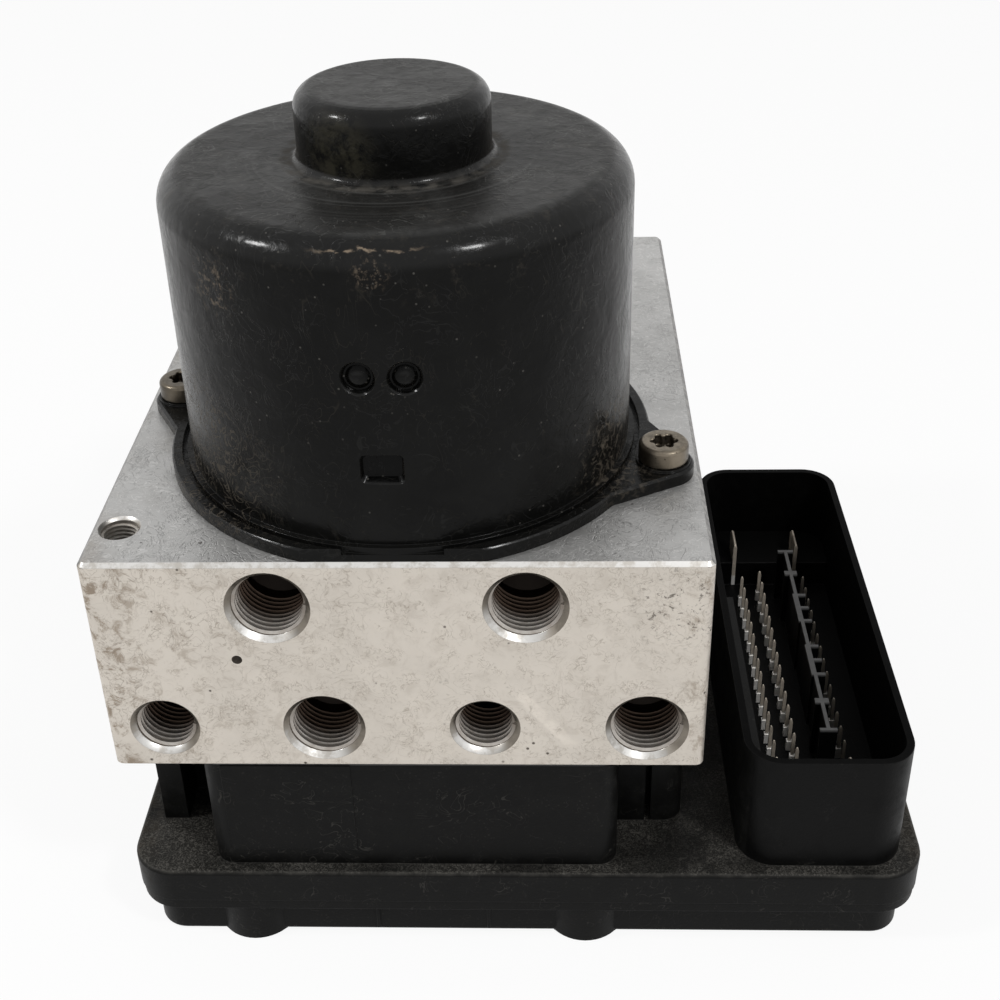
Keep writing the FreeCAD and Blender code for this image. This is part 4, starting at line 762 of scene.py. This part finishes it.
def merged_copy(node, name):
    """New object with a merged copy of a node's mesh, its flat areas joined."""
    mesh = frame["nodes"][node].data.copy()
    mesh.name = name
    mesh.materials.clear()
    piece = bpy.data.objects.new(name, mesh)
    bpy.context.scene.collection.objects.link(piece)
    pick(piece)
    bpy.ops.object.mode_set(mode="EDIT")
    bpy.ops.mesh.select_all(action="SELECT")
    bpy.ops.mesh.remove_doubles(threshold=0.000002)
    bpy.ops.mesh.dissolve_limited(angle_limit=math.radians(0.3))
    bpy.ops.object.mode_set(mode="OBJECT")
    return piece


def apply_modifier(piece, kind, **settings):
    """Adds a modifier with its settings and applies it."""
    modifier = piece.modifiers.new(kind.title(), kind)
    for key, value in settings.items():
        setattr(modifier, key, value)
    pick(piece)
    bpy.ops.object.modifier_apply(modifier=modifier.name)


def folded_area(mesh):
    """Area of the triangles that face against the face they belong to."""
    mesh.calc_loop_triangles()
    return sum(triangle.area for triangle in mesh.loop_triangles
               if triangle.normal.dot(mesh.polygons[triangle.polygon_index].normal) < 0)


def soften(piece, width):
    """Rounds the sharp edges, less where faces would fold over, and shades the piece smoothly."""
    sharp = piece.data
    for share in (1.0, 0.6, 0.35):
        piece.data = sharp.copy()
        apply_modifier(piece, "BEVEL", width=width * share, segments=2, limit_method="ANGLE",
                       angle_limit=SHARP_ANGLE, use_clamp_overlap=False, miter_outer="MITER_ARC")
        if folded_area(piece.data) < FOLDS_ALLOWED:
            break
    bpy.data.meshes.remove(sharp)
    pick(piece)
    bpy.ops.object.shade_smooth_by_angle(angle=SMOOTH_ANGLE)
    apply_modifier(piece, "WEIGHTED_NORMAL", keep_sharp=True, weight=80)


def placed(piece, body, slot, *nodes):
    """Lets the piece ride on a body and stand for nodes, which it hides; the slot is not used."""
    if nodes:
        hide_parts(*nodes)
    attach(piece, body)
    return piece


def softened_node(node, name, slot, material, width):
    """The usual way to a finished piece: softened copy of a node, in one material."""
    piece = merged_copy(node, name)
    piece.data.materials.append(material)
    soften(piece, width)
    return placed(piece, "module", slot, node)


def threaded_holes():
    """Every threaded hole of the block: name, mouth, outward direction, radius and plain length."""
    holes = []
    for mount in frame["record"]["mounts"]:
        if mount["kind"] != "threaded_hole":
            continue
        out = Vector(mount["axis"])
        place = Vector(mount["pos_m"])
        corner = block_high if sum(out) > 0 else block_low
        mouth = place + out * (corner - place).dot(out)
        holes.append((mount["name"], mouth, out, mount["dims"]["r_mm"] / MM,
                      mount["dims"]["length_mm"] / MM))
    return holes


def thread_ridge(name, radius, length, pitch, height, mouth, out):
    """Helical ridge on the wall of a hole, closed at both ends."""
    sink = height * RIDGE_SINK
    depth = height + sink
    bpy.ops.object.select_all(action="DESELECT")
    bpy.ops.mesh.primitive_plane_add(size=1, rotation=(math.pi / 2, 0, 0),
                                     location=(radius + sink - depth / 2, 0, pitch / 2))
    piece = bpy.context.active_object
    piece.name = name
    piece.scale = (depth, pitch * RIDGE_FOOT, 1)
    bpy.ops.object.transform_apply(location=True, rotation=True, scale=True)
    bpy.ops.object.mode_set(mode="EDIT")
    bpy.ops.mesh.select_mode(type="VERT")
    bpy.ops.mesh.select_all(action="DESELECT")
    bpy.ops.object.mode_set(mode="OBJECT")
    for vertex in piece.data.vertices:
        vertex.select = vertex.co.x < radius
    bpy.ops.object.mode_set(mode="EDIT")
    bpy.ops.transform.resize(value=(1, 1, RIDGE_CREST), center_override=(radius, 0, pitch / 2))
    bpy.ops.mesh.select_all(action="SELECT")
    bpy.ops.mesh.delete(type="ONLY_FACE")
    bpy.ops.object.mode_set(mode="OBJECT")
    turns = max(int((length - pitch) / pitch), 1)
    apply_modifier(piece, "SCREW", axis="Z", screw_offset=pitch, iterations=turns, steps=RIDGE_STEPS,
                   render_steps=RIDGE_STEPS, use_merge_vertices=False)
    bpy.ops.object.mode_set(mode="EDIT")
    bpy.ops.mesh.select_all(action="SELECT")
    bpy.ops.mesh.fill_holes(sides=6)
    bpy.ops.mesh.normals_make_consistent(inside=False)
    bpy.ops.object.mode_set(mode="OBJECT")
    top = max(vertex.co.z for vertex in piece.data.vertices)
    piece.rotation_euler = Vector((0, 0, 1)).rotation_difference(out).to_euler()
    piece.location = mouth - out * top
    pick(piece)
    bpy.ops.object.transform_apply(location=True, rotation=True, scale=True)
    bpy.ops.object.shade_smooth_by_angle(angle=math.radians(30))
    return piece


# Operators

class ModuleOperator:
    """Shared settings of the operators."""
    bl_options = {"REGISTER", "UNDO"}


class BRAKE_MODULE_OT_valve_block(ModuleOperator, bpy.types.Operator):
    """Finish the valve block's faces, edges and port walls"""
    bl_idname = "brake_module.valve_block"
    bl_label = "Valve Block"

    def execute(self, context):
        look = context.scene.brake_module.block
        piece = merged_copy("hydraulic_block", "block_finished")
        for finish in (block_side_finish(look), block_front_finish(look), block_top_finish(look),
                       chamfer_highlight_finish(), chamfer_shade_finish(), port_wall_finish(), hole_wall_finish(),
                       pit_finish()):
            piece.data.materials.append(finish)
        soften(piece, look.edge_width)
        holes = threaded_holes()
        for face in piece.data.polygons:
            face.material_index = self.finish_of(face, holes)
        placed(piece, "module", "machined_aluminium", "hydraulic_block")
        return {"FINISHED"}

    def finish_of(self, face, holes):
        """Material of a face, from where it lies and which way it faces."""
        side, front, top, bright, dull, port, hole, pit = range(8)
        centre, normal = face.center, face.normal
        if centre.y > block_low.y + 0.00005 and (centre - DENT_PLACE).length < DENT_REACH:
            return pit
        for _, mouth, out, radius, length in holes:
            depth = (mouth - centre).dot(out)
            reach = (centre - mouth + out * depth).length
            if -SKIN < depth < length + PASSAGE_LENGTH and reach < radius + CHAMFER_REACH:
                # A hole's chamfer takes the painted highlight
                if depth < CHAMFER_DEPTH and SLANT < abs(normal.dot(out)) < FLAT:
                    return bright
                if depth > SKIN:
                    return port if out.y < -0.5 else hole
        if normal.z > FLAT:
            return top
        if normal.y < -FLAT:
            return front
        # Top chamfers facing the front take the painted highlight (bright), the others the painted shade
        # (dull)
        if centre.z > block_high.z - TOP_EDGE and normal.z > 0.1:
            return bright if normal.y < -SLANT else dull
        if centre.y < block_low.y + FRONT_EDGE and normal.y < -SLANT:
            return front
        return side


class BRAKE_MODULE_OT_port_threads(ModuleOperator, bpy.types.Operator):
    """Add the ridges of the threads in the pipe ports and bracket holes"""
    bl_idname = "brake_module.port_threads"
    bl_label = "Port Threads"

    def execute(self, context):
        look = context.scene.brake_module.block
        ridges, walls = port_ridge_finish(), hole_wall_finish()
        for name, mouth, out, radius, length in threaded_holes():
            pipe = name.startswith("port")
            share = 1.0 if pipe else HOLE_THREAD
            lead = look.thread_lead * share
            piece = thread_ridge(name + "_thread", radius, length - lead, look.thread_pitch * share,
                                 look.thread_height * share, mouth - out * lead, out)
            piece.data.materials.append(ridges if pipe else walls)
            placed(piece, "module", "machined_aluminium")
        return {"FINISHED"}


class BRAKE_MODULE_OT_motor_can(ModuleOperator, bpy.types.Operator):
    """Finish the motor's drawn can"""
    bl_idname = "brake_module.motor_can"
    bl_label = "Motor Can"

    def execute(self, context):
        look = context.scene.brake_module.motor
        softened_node("motor_housing", "can_finished", "black_can", can_finish(look), look.edge_width)
        return {"FINISHED"}


class BRAKE_MODULE_OT_screws(ModuleOperator, bpy.types.Operator):
    """Finish the motor's screws and the control unit's screws"""
    bl_idname = "brake_module.screws"
    bl_label = "Screws"

    def execute(self, context):
        look = context.scene.brake_module.motor
        steel = screw_finish(look)
        heads = softened_node("motor_screws", "motor_screws_finished", "screw_steel", steel, width=0.00025)
        heads.data.materials.append(recess_finish(look))
        self.darken_recesses(heads)
        softened_node("unit_screws", "unit_screws_finished", "screw_steel", steel, width=0.00020)
        return {"FINISHED"}

    def darken_recesses(self, piece):
        """Gives the faces round the middle of each head the recess finish."""
        top = max(vertex.co.z for vertex in piece.data.vertices)
        for side in (-1, 1):
            places = [vertex.co for vertex in piece.data.vertices if vertex.co.x * side > 0]
            middle = sum(places, Vector()) / len(places)
            for face in piece.data.polygons:
                off = math.hypot(face.center.x - middle.x, face.center.y - middle.y)
                if off < RECESS_REACH and top - RECESS_DEPTH < face.center.z < top - SKIN:
                    face.material_index = 1


class BRAKE_MODULE_OT_closing_parts(ModuleOperator, bpy.types.Operator):
    """Finish the pressed plugs, covers and balls that close the block"""
    bl_idname = "brake_module.closing_parts"
    bl_label = "Closing Parts"

    def execute(self, context):
        plated = plain_metal_finish("plated_steel", *METALS["plated_steel"])
        ground = plain_metal_finish("ground_steel", *METALS["ground_steel"])
        softened_node("pump_plugs", "pump_plugs_finished", "plated_steel", plated, width=0.00020)
        softened_node("accumulator_covers", "covers_finished", "plated_steel", plated, width=0.00025)
        softened_node("closing_balls", "balls_finished", "ground_steel", ground, width=0.00010)
        return {"FINISHED"}


class BRAKE_MODULE_OT_control_unit(ModuleOperator, bpy.types.Operator):
    """Finish the control unit's housing and cover"""
    bl_idname = "brake_module.control_unit"
    bl_label = "Control Unit"

    def execute(self, context):
        look = context.scene.brake_module.unit
        housing = plastic_finish("black_housing", look, 1.0)
        cover = plastic_finish("black_cover", look, 0.35)
        piece = softened_node("ecu_housing", "housing_finished", "black_housing", housing, look.edge_width)
        piece.data.materials.append(socket_finish(look))
        self.darken_socket(piece)
        pan = softened_node("ecu_cover", "cover_finished", "black_cover", cover, look.edge_width)
        # Rounding moves some corners a little below the part's lowest face
        for vertex in pan.data.vertices:
            vertex.co.z = max(vertex.co.z, cad_bounds[0][2])
        return {"FINISHED"}

    def darken_socket(self, piece):
        """Gives the shroud's flat rim and inner walls the unlit finish."""
        middle = (carrier_low + carrier_high) / 2
        margin = 0.0005
        for face in piece.data.polygons:
            centre, normal = face.center, face.normal
            inward = normal.x * (middle.x - centre.x) + normal.y * (middle.y - centre.y)
            near = all(carrier_low[axis] - margin < centre[axis] < carrier_high[axis] + margin
                       for axis in (0, 1))
            rim = normal.z > 0.99 and centre.z > housing_high.z - 0.0001
            if rim or (near and inward > 0 and centre.z > carrier_low.z):
                face.material_index = 1


class BRAKE_MODULE_OT_plug_contacts(ModuleOperator, bpy.types.Operator):
    """Finish the contact plate, pins and blades of the plug socket"""
    bl_idname = "brake_module.plug_contacts"
    bl_label = "Plug Contacts"

    def execute(self, context):
        look = context.scene.brake_module
        plate = contact_plate_finish(look.unit)
        metal = contact_finish(look.contacts)
        width = look.contacts.edge_width
        softened_node("pin_carrier", "contact_plate_finished", "socket_moulding", plate, width=0.00012)
        softened_node("signal_pins", "pins_finished", "contact_metal", metal, width)
        softened_node("power_blades", "blades_finished", "contact_metal", metal, width)
        return {"FINISHED"}


class BRAKE_MODULE_OT_inner_pieces(ModuleOperator, bpy.types.Operator):
    """Give every node of the frame its plain finish, which the pieces inside keep"""
    bl_idname = "brake_module.inner_pieces"
    bl_label = "Inner Pieces"

    def execute(self, context):
        finishes = inner_finishes()
        for part in frame["record"]["subparts"]:
            node = frame["nodes"][part["node"]]
            for slot in node.material_slots:
                slot.material = finishes[part["material_slot"]]
        return {"FINISHED"}


def inner_finishes():
    """Finish of every material slot."""
    made = {slot: plain_metal_finish("inner_" + slot, *values) for slot, values in METALS.items()}
    made.update({slot: plain_matt_finish("inner_" + slot, *values) for slot, values in MATTS.items()})
    return made


class BRAKE_MODULE_OT_stage(ModuleOperator, bpy.types.Operator):
    """Set up the floor, lights, surroundings and camera"""
    bl_idname = "brake_module.stage"
    bl_label = "Stage"

    def execute(self, context):
        look = context.scene.brake_module.stage
        self.surroundings(context, look)
        self.floor(look)
        self.lamp("left_light", (-0.75, -0.18, 0.63), look, look.left_power)
        self.lamp("right_light", (0.50, -0.46, 0.73), look, look.right_power)
        self.camera(context, look)
        context.scene.view_settings.view_transform = "Standard"
        return {"FINISHED"}

    def surroundings(self, context, look):
        world = bpy.data.worlds.new("surroundings")
        world.use_nodes = True
        context.scene.world = world
        shading = Shading(world.node_tree)
        seen = shading.seen_directly()
        strength = seen * (1.0 - look.sky_light) + look.sky_light
        sky = shading.add("Background", None, {"Color": (1, 1, 1, 1), "Strength": strength})
        shading.add("OutputWorld", None, {"Surface": sky})

    def floor(self, look):
        bpy.ops.object.select_all(action="DESELECT")
        bpy.ops.mesh.primitive_circle_add(vertices=96, radius=look.floor_radius, fill_type="NGON",
                                          location=(0, 0, cad_bounds[0][2] - FLOOR_GAP))
        floor = bpy.context.active_object
        floor.name = "floor"
        bpy.ops.object.transform_apply(location=True)
        material = bpy.data.materials.new("pale_floor")
        material.use_nodes = True
        shading = Shading(material.node_tree)
        matt = shading.add("BsdfDiffuse", None, {"Color": (0.92, 0.92, 0.92, 1)})
        white = shading.add("Emission", None, {"Color": (1, 1, 1, 1), "Strength": 1.0})
        share = shading.seen_directly() * FLOOR_WHITE
        shader = shading.add("MixShader", None, {0: share, 1: matt, 2: white})
        shading.add("OutputMaterial", None, {"Surface": shader})
        floor.data.materials.append(material)

    def lamp(self, name, direction, look, power):
        bpy.ops.object.select_all(action="DESELECT")
        out = Vector(direction).normalized()
        place = Vector((0, 0, can_high.z)) + out * look.lamp_distance
        bpy.ops.object.light_add(type="AREA", location=place,
                                 rotation=out.to_track_quat("Z", "Y").to_euler())
        lamp = bpy.context.active_object
        lamp.name = name
        lamp.data.shape = "SQUARE"
        lamp.data.size = look.lamp_size
        lamp.data.energy = power
        lamp.visible_camera = False

    def camera(self, context, look):
        bpy.ops.object.select_all(action="DESELECT")
        bpy.ops.object.camera_add()
        camera = bpy.context.active_object
        camera.name = "photo_camera"
        turn = Matrix.Rotation(-look.camera_yaw, 4, "Z")
        tilt = Matrix.Rotation(math.pi / 2 - look.camera_pitch, 4, "X")
        lean = Matrix.Rotation(look.camera_roll, 4, "Z")
        camera.matrix_world = Matrix.Translation(look.camera_place) @ turn @ tilt @ lean
        camera.data.sensor_width = 36.0
        camera.data.lens = look.lens
        camera.data.shift_x, camera.data.shift_y = look.shift
        camera.data.clip_start = 0.01
        camera.data.clip_end = 50.0
        context.scene.camera = camera


STEPS = (
    BRAKE_MODULE_OT_inner_pieces, BRAKE_MODULE_OT_valve_block, BRAKE_MODULE_OT_port_threads,
    BRAKE_MODULE_OT_motor_can, BRAKE_MODULE_OT_screws, BRAKE_MODULE_OT_closing_parts,
    BRAKE_MODULE_OT_control_unit, BRAKE_MODULE_OT_plug_contacts, BRAKE_MODULE_OT_stage,
)


class VIEW3D_PT_brake_module(bpy.types.Panel):
    """Lists the steps and their settings"""
    bl_idname = "VIEW3D_PT_brake_module"
    bl_label = "Brake Module"
    bl_space_type = "VIEW_3D"
    bl_region_type = "UI"
    bl_category = "Brake Module"

    def draw(self, context):
        look = context.scene.brake_module
        for step in STEPS:
            self.layout.operator(step.bl_idname)
        for group in (look.block, look.motor, look.unit, look.contacts, look.stage):
            box = self.layout.box()
            for name in group.__annotations__:
                box.prop(group, name)


CLASSES = (BlockLook, MotorLook, UnitLook, ContactLook, StageLook, ModuleLook, *STEPS,
           VIEW3D_PT_brake_module)


def register():
    for made in CLASSES:
        bpy.utils.register_class(made)
    bpy.types.Scene.brake_module = PointerProperty(type=ModuleLook)


def unregister():
    del bpy.types.Scene.brake_module
    for made in reversed(CLASSES):
        bpy.utils.unregister_class(made)


def main():
    register()
    for step in STEPS:
        group, name = step.bl_idname.split(".")
        getattr(getattr(bpy.ops, group), name)()


if __name__ == "__main__":
    main()
